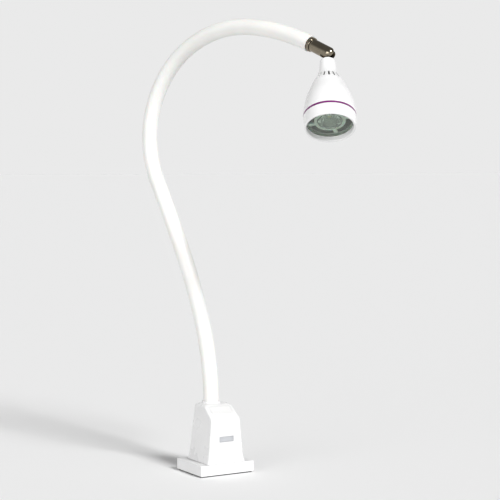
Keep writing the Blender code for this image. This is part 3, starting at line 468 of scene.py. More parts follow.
def tower_outline(z, inset=0.0):
    """Ring of points round the tower at height z, moved inwards by inset."""
    up = z - PLATE_TOP
    flare = FLARE_REACH * max(0.0, 1 - up / FLARE_HEIGHT) ** 2
    half = HALF_WIDTH - SIDE_LEAN * up + flare - inset
    upright = FRONT + FRONT_LEAN * up - flare + inset
    at_foot = FRONT + FRONT_LEAN * (SLOPE_FOOT - PLATE_TOP)
    sloping = at_foot + (z - SLOPE_FOOT) * SLOPE_RUN / SLOPE_RISE
    sloping += inset * math.hypot(SLOPE_RUN, SLOPE_RISE) / SLOPE_RISE
    front = 0.5 * (upright + sloping + math.hypot(upright - sloping, SLOPE_BLEND))
    back = BACK - BACK_LEAN * up + flare - inset
    above = max(0.0, z + inset - (TOWER_TOP - ROOF_EDGE))
    tuck = (ROOF_EDGE - math.sqrt(max(0.0, ROOF_EDGE ** 2 - above ** 2))) * (0.5 if inset else 1.0)
    ring = []
    corners = ((half, back, BACK_CORNER, 0), (-half, back, BACK_CORNER, 90),
               (-half, front, FRONT_CORNER, 180), (half, front, FRONT_CORNER, 270))
    for x, y, radius, start in corners:
        radius = max(1 * mm, radius - inset)
        x -= math.copysign(tuck, x)
        y += tuck if start >= 180 else -tuck
        cx = x - math.copysign(radius, x)
        cy = y + radius if start >= 180 else y - radius
        for i in range(CORNER_STEPS + 1):
            a = math.radians(start + 90 * i / CORNER_STEPS)
            ring.append((cx + radius * math.cos(a), cy + radius * math.sin(a), z))
    return ring


def skin(rings, joined=False):
    """Faces between rings of equal count; joined runs from the last ring back to the first."""
    bm = bmesh.new()
    rows = [[bm.verts.new(p) for p in ring] for ring in rings]
    pairs = list(zip(rows, rows[1:]))
    if joined:
        pairs.append((rows[-1], rows[0]))
    count = len(rows[0])
    for low, high in pairs:
        for i in range(count):
            bm.faces.new((low[i], low[(i + 1) % count], high[(i + 1) % count], high[i]))
    if not joined:
        bm.faces.new(list(reversed(rows[0])))
        bm.faces.new(rows[-1])
    return bm


def steps(low, high, count):
    """Even steps from low up to, but not including, high."""
    return [low + (high - low) * i / count for i in range(count)]


tower_foot = PLATE_TOP + GAP
bend_low, bend_high = SLOPE_FOOT - 6 * mm, SLOPE_FOOT + 6 * mm
heights = steps(tower_foot, tower_foot + FLARE_HEIGHT, 12)
heights += steps(tower_foot + FLARE_HEIGHT, bend_low, 6)
heights += steps(bend_low, bend_high, 24)
heights += steps(bend_high, TOWER_TOP - ROOF_EDGE, 4)
heights += [TOWER_TOP - ROOF_EDGE * (1 - math.sin(math.radians(a))) for a in range(0, 91, 6)]
inner_heights = steps(tower_foot, bend_low, 5) + steps(bend_low, TOWER_TOP - WALL, 12)
inner_heights.append(TOWER_TOP - WALL)
rings = [tower_outline(z, WALL) for z in reversed(inner_heights)] + [tower_outline(z) for z in heights]
tower = piece("tower_moulding", skin(rings), moulded_white, "root", crease=30)
print("tower rings:", len(rings), "points round:", len(rings[0]))

# %% [markdown]
# The openings come next. Each is cut with the real shape of what goes in it, with an even gap of a third
# of a millimetre, because that dark gap is what makes a press switch read as a separate piece. The four
# screw bosses and the little collar that seats the arm are welded on first.

# %% Tower bosses, collar and openings
BOSS_RADIUS, BOSS_HEIGHT = 4.4 * mm, 16 * mm
for x, y in SCREW_PLACES:
    boss = peg(BOSS_RADIUS, tower_foot, tower_foot + BOSS_HEIGHT, 32)
    carve(tower, boss, Matrix.Translation((x, y, 0)), "UNION")
for x, y in SCREW_PLACES:
    carve(tower, peg(SCREW_HOLE, 0, THROUGH, 24), Matrix.Translation((x, y, 0)))
COLLAR_INNER, COLLAR_OUTER = 12.3 * mm, 14.6 * mm
collar = [(COLLAR_INNER, TOWER_TOP - 1.3 * mm), (COLLAR_OUTER, TOWER_TOP - 1.3 * mm),
          (COLLAR_OUTER, TOWER_TOP), (14.3 * mm, TOWER_TOP + 0.25 * mm),
          (14.1 * mm, TOWER_TOP + 0.8 * mm)]
collar += arc((13.3 * mm, TOWER_TOP + 1.8 * mm), 0.8 * mm, 0, 90, 5)
collar += [(12.5 * mm, TOWER_TOP + 2.6 * mm), (COLLAR_INNER, TOWER_TOP + 2.4 * mm)]
neck_foot = Matrix.Translation((0, NECK_Y, 0))
carve(tower, lathe(collar), neck_foot, "UNION")
carve(tower, peg(BOLT_HOLE, TOWER_TOP - 14 * mm, TOWER_TOP + 6 * mm, 48), neck_foot)

slope_up = Vector((0, SLOPE_RUN, SLOPE_RISE)).normalized()
slope_out = Vector((1, 0, 0)).cross(slope_up)
slope_start = Vector((0, FRONT + FRONT_LEAN * (SLOPE_FOOT - PLATE_TOP), SLOPE_FOOT))
BUTTON = (36 * mm, 15.5 * mm, 3 * mm)
BUTTON_UP_SLOPE = 20.5 * mm
switch_place = frame_of(slope_start + slope_up * BUTTON_UP_SLOPE, slope_out, slope_up)
opening = box((BUTTON[0] + 2 * GAP, BUTTON[1] + 2 * GAP, 6 * WALL))
upright_edges = [e for e in opening.edges if abs((e.verts[0].co - e.verts[1].co).z) > 4 * WALL]
bmesh.ops.bevel(opening, geom=upright_edges, offset=1.3 * mm, segments=6, profile=0.5, affect="EDGES")
carve(tower, opening, switch_place)

UP = Vector((0, 0, 1))
INLET_X, INLET_Z, INLET_HOLE = -13.2 * mm, 42.1 * mm, 5.7 * mm
wall_out = Vector((0, 1, BACK_LEAN)).normalized()
inlet_place = frame_of(Vector((INLET_X, BACK - BACK_LEAN * (INLET_Z - PLATE_TOP), INLET_Z)), wall_out, UP)
carve(tower, peg(INLET_HOLE, -10 * mm, 10 * mm, 48), inlet_place)

BADGE = (24 * mm, 8 * mm, 1 * mm)
BADGE_Z = 54.6 * mm
front_out = Vector((0, -1, -FRONT_LEAN)).normalized()
badge_place = frame_of(Vector((0, FRONT + FRONT_LEAN * (BADGE_Z - PLATE_TOP), BADGE_Z)), front_out, UP)
carve(tower, box((BADGE[0] + 2 * GAP, BADGE[1] + 2 * GAP, 2 * BADGE[2])), badge_place)
tower.data.shade_smooth()
tower.data.set_sharp_from_angle(angle=math.radians(28))
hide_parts("base_housing")
print("tower, mm:", [round(v / mm, 1) for v in tower.dimensions], "faces:", len(tower.data.polygons))

# %% [markdown]
# ## Press switch, badge and power inlet
#
# The switch is a wide paddle that lies flush in the slope. A finger feels for it, so its face is a little
# hollow: the top of the block is divided and its middle is pressed in by a few tenths. The badge is a
# plain grey plate with a raised border, and the inlet is turned, with a real pin in its bore.

# %% Switch, badge, inlet
def rounded_ring(width, depth, radius, z):
    """Ring of points round a rectangle with rounded corners, centred on Z."""
    ring = []
    for sx, sy, start in ((1, 1, 0), (-1, 1, 90), (-1, -1, 180), (1, -1, 270)):
        for i in range(7):
            a = math.radians(start + 15 * i)
            ring.append((sx * (width / 2 - radius) + radius * math.cos(a),
                         sy * (depth / 2 - radius) + radius * math.sin(a), z))
    return ring


BUTTON_CORNER, BUTTON_EDGE = 1.1 * mm, 0.35 * mm
rows = [(0, -BUTTON[2]), (0, -BUTTON_EDGE)]
rows += [(BUTTON_EDGE * (1 - math.cos(math.radians(a))), BUTTON_EDGE * (math.sin(math.radians(a)) - 1))
         for a in (22.5, 45, 67.5, 90)]
rows += [(1.4 * mm, -0.02 * mm), (2.4 * mm, -0.08 * mm), (3.6 * mm, -0.15 * mm), (5.0 * mm, -0.20 * mm),
         (6.6 * mm, -0.22 * mm)]
rings = [rounded_ring(BUTTON[0] - 2 * inset, BUTTON[1] - 2 * inset, max(0.3 * mm, BUTTON_CORNER - inset), z)
         for inset, z in rows]
paddle = piece("switch_button", skin(rings), button_white, "paddle", switch_place)
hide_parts("switch_paddle")

badge_grey = finish("badge_grey", (0.42, 0.43, 0.45), 0.35)
tone(badge_grey, (0.40, 0.41, 0.43), (0.46, 0.47, 0.49), 60)
gloss(badge_grey, 0.28, 0.42, 150)
grain(badge_grey, 2500, 0.00005, stretch=(0.1, 1, 1))
badge_bm = box(BADGE, (0, 0, -BADGE[2] / 2 + GAP), 0.25 * mm, 3)
badge_face = max(badge_bm.faces, key=lambda f: f.calc_center_median().z)
for border, depth in ((0.7 * mm, 0.0), (0.15 * mm, -0.2 * mm)):
    bmesh.ops.inset_region(badge_bm, faces=[badge_face], thickness=border, depth=depth, use_even_offset=True)
badge = piece("plain_badge", badge_bm, badge_grey, "root", badge_place)
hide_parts("front_badge")

black_moulding = finish("black_moulding", (0.028, 0.028, 0.03), 0.42)
tone(black_moulding, (0.022, 0.022, 0.024), (0.036, 0.036, 0.038), 70)
gloss(black_moulding, 0.36, 0.52, 140)
grain(black_moulding, 1600, 0.0001)
inlet_profile = [(0, 0), (0.7 * mm, 0), (1 * mm, -0.4 * mm), (1 * mm, -5.5 * mm), (3.2 * mm, -5.5 * mm),
                 (3.2 * mm, 1.3 * mm), (3.6 * mm, 1.8 * mm), (5.8 * mm, 1.8 * mm)]
inlet_profile += arc((6.1 * mm, 1.1 * mm), 0.7 * mm, 90, 0, 5)
inlet_profile += [(6.8 * mm, GAP), (5.4 * mm, GAP), (5.4 * mm, -8.5 * mm), (0, -8.5 * mm)]
inlet = piece("inlet_socket", lathe(inlet_profile, 64), black_moulding, "root", inlet_place)
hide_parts("power_inlet")
print("switch centre, mm:", [round(v / mm, 1) for v in switch_place.translation])

# %% [markdown]
# ## Flexible arm
#
# The arm is one smooth tube that keeps whatever shape it is bent to. The working model has seven stiff
# sections with a hinge between each two, and the tube has to cross every hinge without a kink. So the
# tube is made in lengths that each run from the middle of one section to the middle of the next, drawn
# where the arm rests and tied to no body. The centre line is a chain of arcs, one arc for
# each section, and the print shows how far the arcs end from the model's hinges.

# %% Arm centre line
ARM_SWING = 20
SECTION = 119.9 * mm
BENDS = (-15.8, -9, -2, 46.2, 41.7, 34.2, 19.5)
HINGES = ("neck_bend_low", "neck_sway_low", "neck_bend_middle", "neck_sway_middle", "neck_bend_high",
          "neck_sway_high")


def along_arc(bend, s):
    """Frame at a distance s along an arc that starts up Z and turns towards X by bend degrees."""
    angle = math.radians(bend) * s / SECTION
    radius = SECTION / math.radians(bend)
    turned = Matrix.Rotation(angle, 4, "Y")
    return Matrix.Translation((radius * (1 - math.cos(angle)), 0, radius * math.sin(angle))) @ turned


arm_heading = Matrix.Rotation(math.radians(ARM_SWING - 90), 4, "Z")
section_starts = [Matrix.Translation((0, NECK_Y, TOWER_TOP)) @ arm_heading]
for bend in BENDS:
    section_starts.append(section_starts[-1] @ along_arc(bend, SECTION))
arm_end = section_starts[-1]
misses = [(start.translation - joint_place(name)).length for start, name in zip(section_starts[1:], HINGES)]
print("arc ends to hinges, mm:", [round(m / mm, 3) for m in misses])


def arm_frame(s):
    """Frame on the centre line at a distance s from the roof of the tower."""
    index = min(len(BENDS) - 1, int(s / SECTION))
    return section_starts[index] @ along_arc(BENDS[index], s - index * SECTION)


# %% [markdown]
# The sleeve of the arm is a soft white silicone: not quite as blue as the painted parts, with a satin
# gloss, a little light inside it and a faint grain.

# %% Arm skins
silicone = finish("ivory_silicone", (0.77, 0.76, 0.735), 0.42, Subsurface_Weight=0.12, Subsurface_Scale=0.004)
tone(silicone, (0.755, 0.745, 0.72), (0.785, 0.775, 0.755), 22)
gloss(silicone, 0.36, 0.5, 50)
grain(silicone, 1100, 0.0001)
grain(silicone, 160, 0.00012, strength=0.15)

ARM_RADIUS = 12 * mm
ARM_INNER = 10.6 * mm
RING_SPACING = 2.4 * mm
SEAM = 0.01 * mm
END_GAP = 0.4 * mm
arm_length = SECTION * len(BENDS)


def arm_skin(name, start, end, sides=56):
    """A length of the arm's sleeve, a closed tube along the centre line."""
    count = math.ceil((end - start) / RING_SPACING)
    places = [start + (end - start) * i / count for i in range(count + 1)]

    def ring(s, radius):
        turns = [2 * math.pi * i / sides for i in range(sides)]
        frame_here = arm_frame(s)
        return [tuple(frame_here @ Vector((radius * math.cos(a), radius * math.sin(a), 0))) for a in turns]
    outer = [ring(s, ARM_RADIUS) for s in places]
    inner = [ring(s, ARM_INNER) for s in reversed(places)]
    return piece(name, skin(outer + inner, joined=True), silicone, None)


for k, hinge in enumerate(HINGES):
    topmost = k == len(HINGES) - 1
    first = END_GAP if k == 0 else (k + 0.5) * SECTION + SEAM
    last = arm_length - END_GAP if topmost else (k + 1.5) * SECTION - SEAM
    length = arm_skin(f"arm_skin_{k + 1}", first, last)
    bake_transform(length)
    covered = [k + 1, k + 2] if topmost else [k + 1]
    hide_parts(*[f"neck_sheath_{n}" for n in covered])
print("arm length, mm:", round(arm_length / mm, 1), "skins:", len(HINGES))

# %% [markdown]
# ## Ball knuckle
#
# The arm ends in a turned collar and a chromed sleeve with a domed end. A slot across the dome lets the
# stem of the ball swing over, which is how a plain ball joint can reach a right angle. All of it is
# turned work, so all of it is lathed, with small edge breaks: on chrome the break is what makes the thin
# bright line along an edge. Dark chrome gets a fine even grain and a gloss that wanders a little.

# %% Knuckle finishes
dark_chrome = finish("dark_chrome", (0.25, 0.218, 0.165), 0.12, 1.0)
tone(dark_chrome, (0.22, 0.192, 0.145), (0.28, 0.244, 0.185), 60)
gloss(dark_chrome, 0.08, 0.17, 240)
grain(dark_chrome, 2600, 0.00004, strength=0.2)

bright_chrome = finish("bright_chrome", (0.78, 0.78, 0.79), 0.08, 1.0)
tone(bright_chrome, (0.74, 0.74, 0.75), (0.82, 0.82, 0.83), 80)
gloss(bright_chrome, 0.05, 0.13, 260)
grain(bright_chrome, 2200, 0.00002, strength=0.2)

# %% Knuckle pieces
BALL_AHEAD = 33 * mm
DOME_AT = BALL_AHEAD + 3.5 * mm
BALL_RADIUS = 6.4 * mm
COLLAR_RADIUS, COLLAR_LENGTH = 10.7 * mm, 5 * mm
SLEEVE_RADIUS, SLEEVE_WALL = 9.3 * mm, 2.4 * mm
SHANK_RADIUS, BALL_SLOT = 5.4 * mm, 8 * mm

collar_profile = [(SHANK_RADIUS + GAP, GAP)]
collar_profile += arc((COLLAR_RADIUS - 0.6 * mm, GAP + 0.6 * mm), 0.6 * mm, -90, 0, 5)
collar_profile += [(COLLAR_RADIUS, 1.9 * mm), (COLLAR_RADIUS - 0.4 * mm, 2.2 * mm),
                   (COLLAR_RADIUS - 0.4 * mm, 2.7 * mm), (COLLAR_RADIUS, 3.0 * mm)]
collar_profile += arc((COLLAR_RADIUS - 0.9 * mm, COLLAR_LENGTH - 0.9 * mm), 0.9 * mm, 0, 90, 6)
collar_profile += [(SHANK_RADIUS + GAP, COLLAR_LENGTH)]
end_collar = piece("knuckle_collar", lathe(collar_profile), dark_chrome, "section_7", arm_end, crease=50)
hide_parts("end_collar")

sleeve_axis = joint_axis("knuckle_turn")
tilt_axis = joint_axis("head_tilt")
sleeve_place = frame_of(joint_place("knuckle_turn"), sleeve_axis, tilt_axis)
sleeve_rear = COLLAR_LENGTH + GAP
chamber = sleeve_rear + 10 * mm + 2 * GAP
chamber_radius = SLEEVE_RADIUS - SLEEVE_WALL
sleeve_profile = arc((0, DOME_AT), SLEEVE_RADIUS, 90, 0, 24)
groove_floor = SLEEVE_RADIUS - 0.3 * mm
sleeve_profile += [(SLEEVE_RADIUS, sleeve_rear + 2.4 * mm), (groove_floor, sleeve_rear + 2.1 * mm),
                   (groove_floor, sleeve_rear + 1.6 * mm), (SLEEVE_RADIUS, sleeve_rear + 1.3 * mm)]
sleeve_profile += arc((SLEEVE_RADIUS - 0.5 * mm, sleeve_rear + 0.5 * mm), 0.5 * mm, 0, -90, 4)
sleeve_profile += [(SHANK_RADIUS + GAP, sleeve_rear), (SHANK_RADIUS + GAP, chamber),
                   (chamber_radius, chamber)]
sleeve_profile += arc((0, DOME_AT), chamber_radius, 0, 90, 16)
sleeve = piece("knuckle_sleeve_chromed", lathe(sleeve_profile), dark_chrome, "knuckle", sleeve_place)
slot_length = 3 * SLEEVE_RADIUS
slot_block = box((4 * SLEEVE_RADIUS, BALL_SLOT, slot_length), (0, 0, BALL_AHEAD - 5 * mm + slot_length / 2))
carve(sleeve, slot_block, sleeve_place)
edge_break = sleeve.modifiers.new("edge_break", "BEVEL")
edge_break.width = 0.3 * mm
edge_break.segments = 3
edge_break.limit_method = "ANGLE"
edge_break.angle_limit = math.radians(40)
sleeve.data.shade_smooth()
sleeve.data.set_sharp_from_angle(angle=math.radians(50))
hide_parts("knuckle_sleeve")

# %% [markdown]
# The stud is one turned piece: ball, a short waist and a stem that goes into the neck of the head. A ball
# joint like this keeps its grip from a pad and a spring behind the ball. The spring is a real coil here,
# swept along a helix, because a plain tube in its place would look wrong through the slot.

# %% Stud, pad and spring
HEAD_DROP = 15 * mm
HEAD_LENGTH = 115 * mm
head_axis = joint_axis("head_spin")
head_place = frame_of(joint_place("head_spin"), head_axis, tilt_axis)
STEM = 3 * mm
stem_end = HEAD_DROP + 9 * mm + 4 * mm + 4 * GAP
contact = math.degrees(math.asin(STEM / BALL_RADIUS))
stud_profile = [(BALL_RADIUS * math.sin(math.radians(a)), BALL_RADIUS * math.cos(math.radians(a)))
                for a in [180 - (180 - contact) * i / 40 for i in range(41)]]
stud_profile[0] = (0, -BALL_RADIUS)
stud_profile += [(STEM, stem_end - 0.5 * mm), (STEM - 0.5 * mm, stem_end), (0, stem_end)]
stud = piece("ball_and_stem", lathe(stud_profile), bright_chrome, "stud", head_place)
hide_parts("ball_stud")

spring_low, spring_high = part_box("pad_spring")
spring_at = ((spring_low + spring_high) / 2 - sleeve_place.translation).dot(sleeve_axis)
spring_steel = finish("spring_steel", (0.5, 0.5, 0.51), 0.3, 1.0)
tone(spring_steel, (0.46, 0.46, 0.47), (0.55, 0.55, 0.56), 200)
gloss(spring_steel, 0.22, 0.38, 500)
grain(spring_steel, 3000, 0.00003)
SPRING_WIRE, SPRING_RADIUS, SPRING_TURNS, SPRING_LENGTH = 0.55 * mm, 5.4 * mm, 3, 3.3 * mm
STEPS_A_TURN, WIRE_SIDES = 36, 10
rings = []
for i in range(STEPS_A_TURN * SPRING_TURNS + 1):
    a = 2 * math.pi * i / STEPS_A_TURN
    z = spring_at + SPRING_LENGTH * (i / (STEPS_A_TURN * SPRING_TURNS) - 0.5)
    outward = Vector((math.cos(a), math.sin(a), 0))
    centre = outward * SPRING_RADIUS + Vector((0, 0, z))
    round_wire = [2 * math.pi * j / WIRE_SIDES for j in range(WIRE_SIDES)]
    rings.append([tuple(centre + SPRING_WIRE * (outward * math.cos(t) + UP * math.sin(t)))
                  for t in round_wire])
spring = piece("pad_spring_coil", skin(rings), spring_steel, "knuckle", sleeve_place)
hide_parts("pad_spring")
print("ball ahead of the arm, mm:", round((head_place.translation - arm_end.translation).length / mm, 2))

# %% [markdown]
# ## Lamp head
#
# The bell shape is a turned profile. A handful of stations give its radius at measured distances from the
# rim, and a smooth curve runs through them. That is easier to correct than a bezier with handles: to
# change a width, change one number. The shell, the coloured ring and the front bezel all read their
# outside from the same curve, so they stay flush with each other, with a hairline between them.

# %% Head outline
STATIONS = ((0, 35.2), (1.5, 36), (14, 36.8), (27, 36.8), (48, 32.6), (65, 26.2), (76, 21.8), (85, 16.8),
            (93, 13.6), (101, 12.1), (115, 10.8))
HEAD_WALL = 2 * mm


def bell_radius(t):
    """Outer radius of the head at a distance t from its rim: a cubic between stations, smooth across them."""
    t = t / mm
    k = max(i for i in range(len(STATIONS) - 1) if STATIONS[i][0] <= t or i == 0)
    (t0, r0), (t1, r1) = STATIONS[k], STATIONS[k + 1]
    before, after = STATIONS[max(0, k - 1)], STATIONS[min(len(STATIONS) - 1, k + 2)]
    slope0 = (r1 - before[1]) / (t1 - before[0])
    slope1 = (after[1] - r0) / (after[0] - t0)
    w = t1 - t0
    u = min(1.0, max(0.0, (t - t0) / w))
    rise = r0 * (1 + 2 * u) * (1 - u) ** 2 + r1 * u * u * (3 - 2 * u)
    return (rise + slope0 * w * u * (1 - u) ** 2 - slope1 * w * u * u * (1 - u)) * mm


def from_rim(t):
    """Place along the head's axis, from the ball's centre, of a distance from the rim."""
    return HEAD_DROP + HEAD_LENGTH - t


def bell(start, end, count, inset=0.0):
    """Points of the head's outline between two distances from the rim."""
    places = [start + (end - start) * i / count for i in range(count + 1)]
    return [(bell_radius(t) - inset, from_rim(t)) for t in places]


# %% [markdown]
# The shell is white outside and a dull grey-green inside, which is painted shade for the hollow of the head.
# One mesh can carry two finishes: the faces that look towards the axis are given the second one. Eighteen
# vent slots with round ends let the heat out near the neck.

# %% Head shell
# Painted shade: a dull grey-green for the inner faces, standing in for the shade inside the head.
inside_painted_shade = finish("inside_painted_shade", (0.20, 0.225, 0.185), 0.6)
tone(inside_painted_shade, (0.18, 0.205, 0.165), (0.23, 0.255, 0.215), 50)
gloss(inside_painted_shade, 0.5, 0.7, 120)
grain(inside_painted_shade, 1400, 0.0001)

RING_AT, RING_WIDTH = 19 * mm, 3 * mm
HAIRLINE = 0.15 * mm
ring_back, ring_front = RING_AT + RING_WIDTH / 2, RING_AT - RING_WIDTH / 2
NECK_EDGE = 1.5 * mm
EDGE_BREAK = 0.15 * mm
shell_profile = bell(ring_back + HAIRLINE + EDGE_BREAK, HEAD_LENGTH - NECK_EDGE, 90)
shell_profile[0] = (shell_profile[0][0] - EDGE_BREAK, shell_profile[0][1] + EDGE_BREAK)
crown = bell_radius(HEAD_LENGTH) - NECK_EDGE
for degrees in range(15, 91, 15):
    a = math.radians(degrees)
    shell_profile.append((crown + NECK_EDGE * math.cos(a),
                          from_rim(HEAD_LENGTH - NECK_EDGE + NECK_EDGE * math.sin(a))))
hole = STEM + 0.9 * mm
shell_profile += [(hole + 0.3 * mm, from_rim(HEAD_LENGTH)), (hole, from_rim(HEAD_LENGTH - 0.3 * mm)),
                  (hole, from_rim(HEAD_LENGTH - HEAD_WALL))]
shell_profile += bell(HEAD_LENGTH - HEAD_WALL, ring_back + HAIRLINE, 60, HEAD_WALL)
shell = piece("head_bell", lathe(shell_profile, 128), lamp_white, "head", head_place)
# The faces inside the shell take the painted shade as their second finish.
shell.data.materials.append(inside_painted_shade)
VENTS, VENT_AT, VENT_LENGTH, VENT_WIDTH, VENT_REACH = 18, 80.5 * mm, 11 * mm, 2.2 * mm, 18 * mm
for i in range(VENTS):
    vent = box((VENT_REACH, VENT_WIDTH, VENT_LENGTH), (bell_radius(VENT_AT), 0, from_rim(VENT_AT)))
    long_edges = [e for e in vent.edges if abs((e.verts[0].co - e.verts[1].co).x) > 10 * mm]
    bmesh.ops.bevel(vent, geom=long_edges, offset=VENT_WIDTH * 0.49, segments=6, profile=0.5, affect="EDGES")
    carve(shell, vent, head_place @ Matrix.Rotation(2 * math.pi * (i + 0.5) / VENTS, 4, "Z"))
to_head = head_place.inverted()
INWARD_DEPTH = 0.7 * HEAD_WALL
inward = 0
for face in shell.data.polygons:
    centre = to_head @ face.center
    level = from_rim(0) - centre.z
    deep = math.hypot(centre.x, centre.y) < bell_radius(level) - INWARD_DEPTH
    if deep and level < HEAD_LENGTH - 0.5 * mm:
        face.material_index = 1
        inward += 1
shell.data.shade_smooth()
shell.data.set_sharp_from_angle(angle=math.radians(32))
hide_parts("head_shell")
print("shell faces:", len(shell.data.polygons), "of them inside:", inward)

# %% [markdown]
# ## Coloured ring and bezel
#
# The violet ring is a glossy moulding caught between shell and bezel, and its inner face gets the same
# painted shade as the inside of the shell. The bezel has a full rounded lip, and inside the lip a straight
# wall runs back to the window. A lip drawn with a real arc gives the bright
# crescent that a lamp rim shows.

# %% Ring and bezel
violet = finish("violet_plastic", (0.17, 0.013, 0.145), 0.22, Coat_Weight=0.4, Coat_Roughness=0.08)
tone(violet, (0.155, 0.011, 0.13), (0.19, 0.016, 0.16), 40)
gloss(violet, 0.17, 0.28, 90)
grain(violet, 1500, 0.00003)
RING_DEEP = 3.2 * mm
ring_profile = bell(ring_front + HAIRLINE, ring_back - HAIRLINE, 8)
ring_profile += [(bell_radius(ring_back) - RING_DEEP, from_rim(ring_back - HAIRLINE)),
                 (bell_radius(ring_front) - RING_DEEP, from_rim(ring_front + HAIRLINE))]
accent = piece("violet_ring", lathe(ring_profile, 160), violet, "head", head_place)
# The ring's inner face takes the same painted shade as the inside of the shell.
accent.data.materials.append(inside_painted_shade)
for face in accent.data.polygons:
    centre = to_head @ face.center
    if math.hypot(centre.x, centre.y) < bell_radius(ring_back) - INWARD_DEPTH:
        face.material_index = 1
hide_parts("accent_ring")

LIP, RECESS, GLASS, LEDGE, SEAL = 2.8 * mm, 7.5 * mm, 2.5 * mm, 1.6 * mm, 1.2 * mm
opening_radius = bell_radius(0) - LIP
seat = RECESS + GLASS + 2 * GAP + SEAL
bezel_back = ring_front - HAIRLINE
ROUNDING, LEDGE_THICK = 2.4 * mm, 2 * mm
rim_outer = bell_radius(ROUNDING)
rim_middle = (opening_radius + rim_outer) / 2
rim_half = (rim_outer - opening_radius) / 2
bezel_profile = []
for degrees in range(0, 181, 12):
    a = math.radians(degrees)
    bezel_profile.append((rim_middle - rim_half * math.cos(a), from_rim(ROUNDING * (1 - math.sin(a)))))
bezel_profile += bell(3.2 * mm, bezel_back - EDGE_BREAK, 22)
bezel_profile += [(bell_radius(bezel_back) - EDGE_BREAK, from_rim(bezel_back)),
                  (bell_radius(bezel_back) - HEAD_WALL, from_rim(bezel_back)),
                  (bell_radius(seat) - HEAD_WALL, from_rim(seat + LEDGE_THICK)),
                  (opening_radius - LEDGE, from_rim(seat + LEDGE_THICK)),
                  (opening_radius - LEDGE, from_rim(seat)), (opening_radius, from_rim(seat))]
bezel = piece("head_bezel", lathe(bezel_profile, 160), lamp_white, "head", head_place)
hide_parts("front_bezel")
print("ring and opening across, mm:", *(round(2 * r / mm, 1) for r in (bell_radius(RING_AT), opening_radius)))

# %% [markdown]
# ## Window and optics
#
# Behind the window sits a frosted ring on four spokes that holds the collimator lens. The lens has the
# usual shape of its kind: a cone-like body that turns the light of one small emitter forward by total
# reflection, with a flat front and a hollow over the emitter. The window is a clear disc with chamfered
# edges, its finish faintly green as plain glass is. Its seal is a rubber band behind it, coloured a pale grey
# that is painted light for the lit bottom of the recess.

# %% Window, seal, holder, lens
window_glass = finish("window_glass", (0.85, 0.93, 0.85), 0.03, Transmission_Weight=1.0, IOR=1.46)
tone(window_glass, (0.835, 0.925, 0.835), (0.865, 0.935, 0.865), 12)
gloss(window_glass, 0.015, 0.05, 40)
grain(window_glass, 500, 0.00002, strength=0.1)
glass_radius = opening_radius - GAP
chamfer = 0.3 * mm
glass_profile = [(0, from_rim(RECESS)), (glass_radius - chamfer, from_rim(RECESS)),
                 (glass_radius, from_rim(RECESS + chamfer)),
                 (glass_radius, from_rim(RECESS + GLASS - chamfer)),
                 (glass_radius - chamfer, from_rim(RECESS + GLASS)), (0, from_rim(RECESS + GLASS))]
glass = piece("window_disc", lathe(glass_profile, 160), window_glass, "head", head_place, crease=25)
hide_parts("front_glass")

seal_back, seal_front = from_rim(seat - GAP), from_rim(RECESS + GLASS + GAP)
seal_inner, seal_edge = opening_radius - LEDGE, 0.2 * mm
seal_profile = [(glass_radius, seal_back), (glass_radius, seal_front - seal_edge),
                (glass_radius - seal_edge, seal_front), (seal_inner + seal_edge, seal_front),
                (seal_inner, seal_front - seal_edge), (seal_inner, seal_back)]
# The seal's pale grey is painted light, standing in for the lit bottom of the recess around the window.
seal_painted_light = finish("seal_pale_painted_light", (0.50, 0.54, 0.49), 0.6, Subsurface_Weight=0.2, Subsurface_Scale=0.002)
tone(seal_painted_light, (0.47, 0.51, 0.46), (0.53, 0.57, 0.52), 90)
gloss(seal_painted_light, 0.5, 0.7, 120)
grain(seal_painted_light, 1200, 0.0001)
seal = piece("window_seal", lathe(seal_profile, 128), seal_painted_light, "head", head_place)
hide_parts("glass_seal")

frosted = finish("frosted_plastic", (0.80, 0.86, 0.80), 0.5, Subsurface_Weight=0.3, Subsurface_Scale=0.004)
tone(frosted, (0.78, 0.845, 0.78), (0.83, 0.885, 0.83), 60)
gloss(frosted, 0.42, 0.58, 200)
grain(frosted, 1800, 0.0001)
holder_front = seat + GAP
HOLDER_THICK, HOLDER_OUT, HOLDER_IN = 4 * mm, 22 * mm, 17.8 * mm
SPOKES, SPOKE_WIDTH, SPOKE_LAP = 4, 5.5 * mm, 1 * mm
soft = 0.5 * mm
front_level, back_level = from_rim(holder_front), from_rim(holder_front + HOLDER_THICK)
holder_profile = [(HOLDER_IN, back_level), (HOLDER_IN, front_level - soft)]
holder_profile += [(HOLDER_IN + soft, front_level), (HOLDER_OUT - soft, front_level)]
holder_profile += [(HOLDER_OUT, front_level - soft), (HOLDER_OUT, back_level)]
holder = piece("lens_spider", lathe(holder_profile), frosted, "head", head_place)
spoke_out = opening_radius - LEDGE - GAP
for i in range(SPOKES):
    spoke = box((spoke_out - HOLDER_OUT + SPOKE_LAP, SPOKE_WIDTH, HOLDER_THICK - 1 * mm),
                ((spoke_out + HOLDER_OUT - SPOKE_LAP) / 2, 0, (front_level + back_level) / 2), 0.6 * mm)
    carve(holder, spoke, head_place @ Matrix.Rotation(2 * math.pi * i / SPOKES, 4, "Z"), "UNION")
holder.data.shade_smooth()
holder.data.set_sharp_from_angle(angle=math.radians(35))
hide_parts("lens_holder")

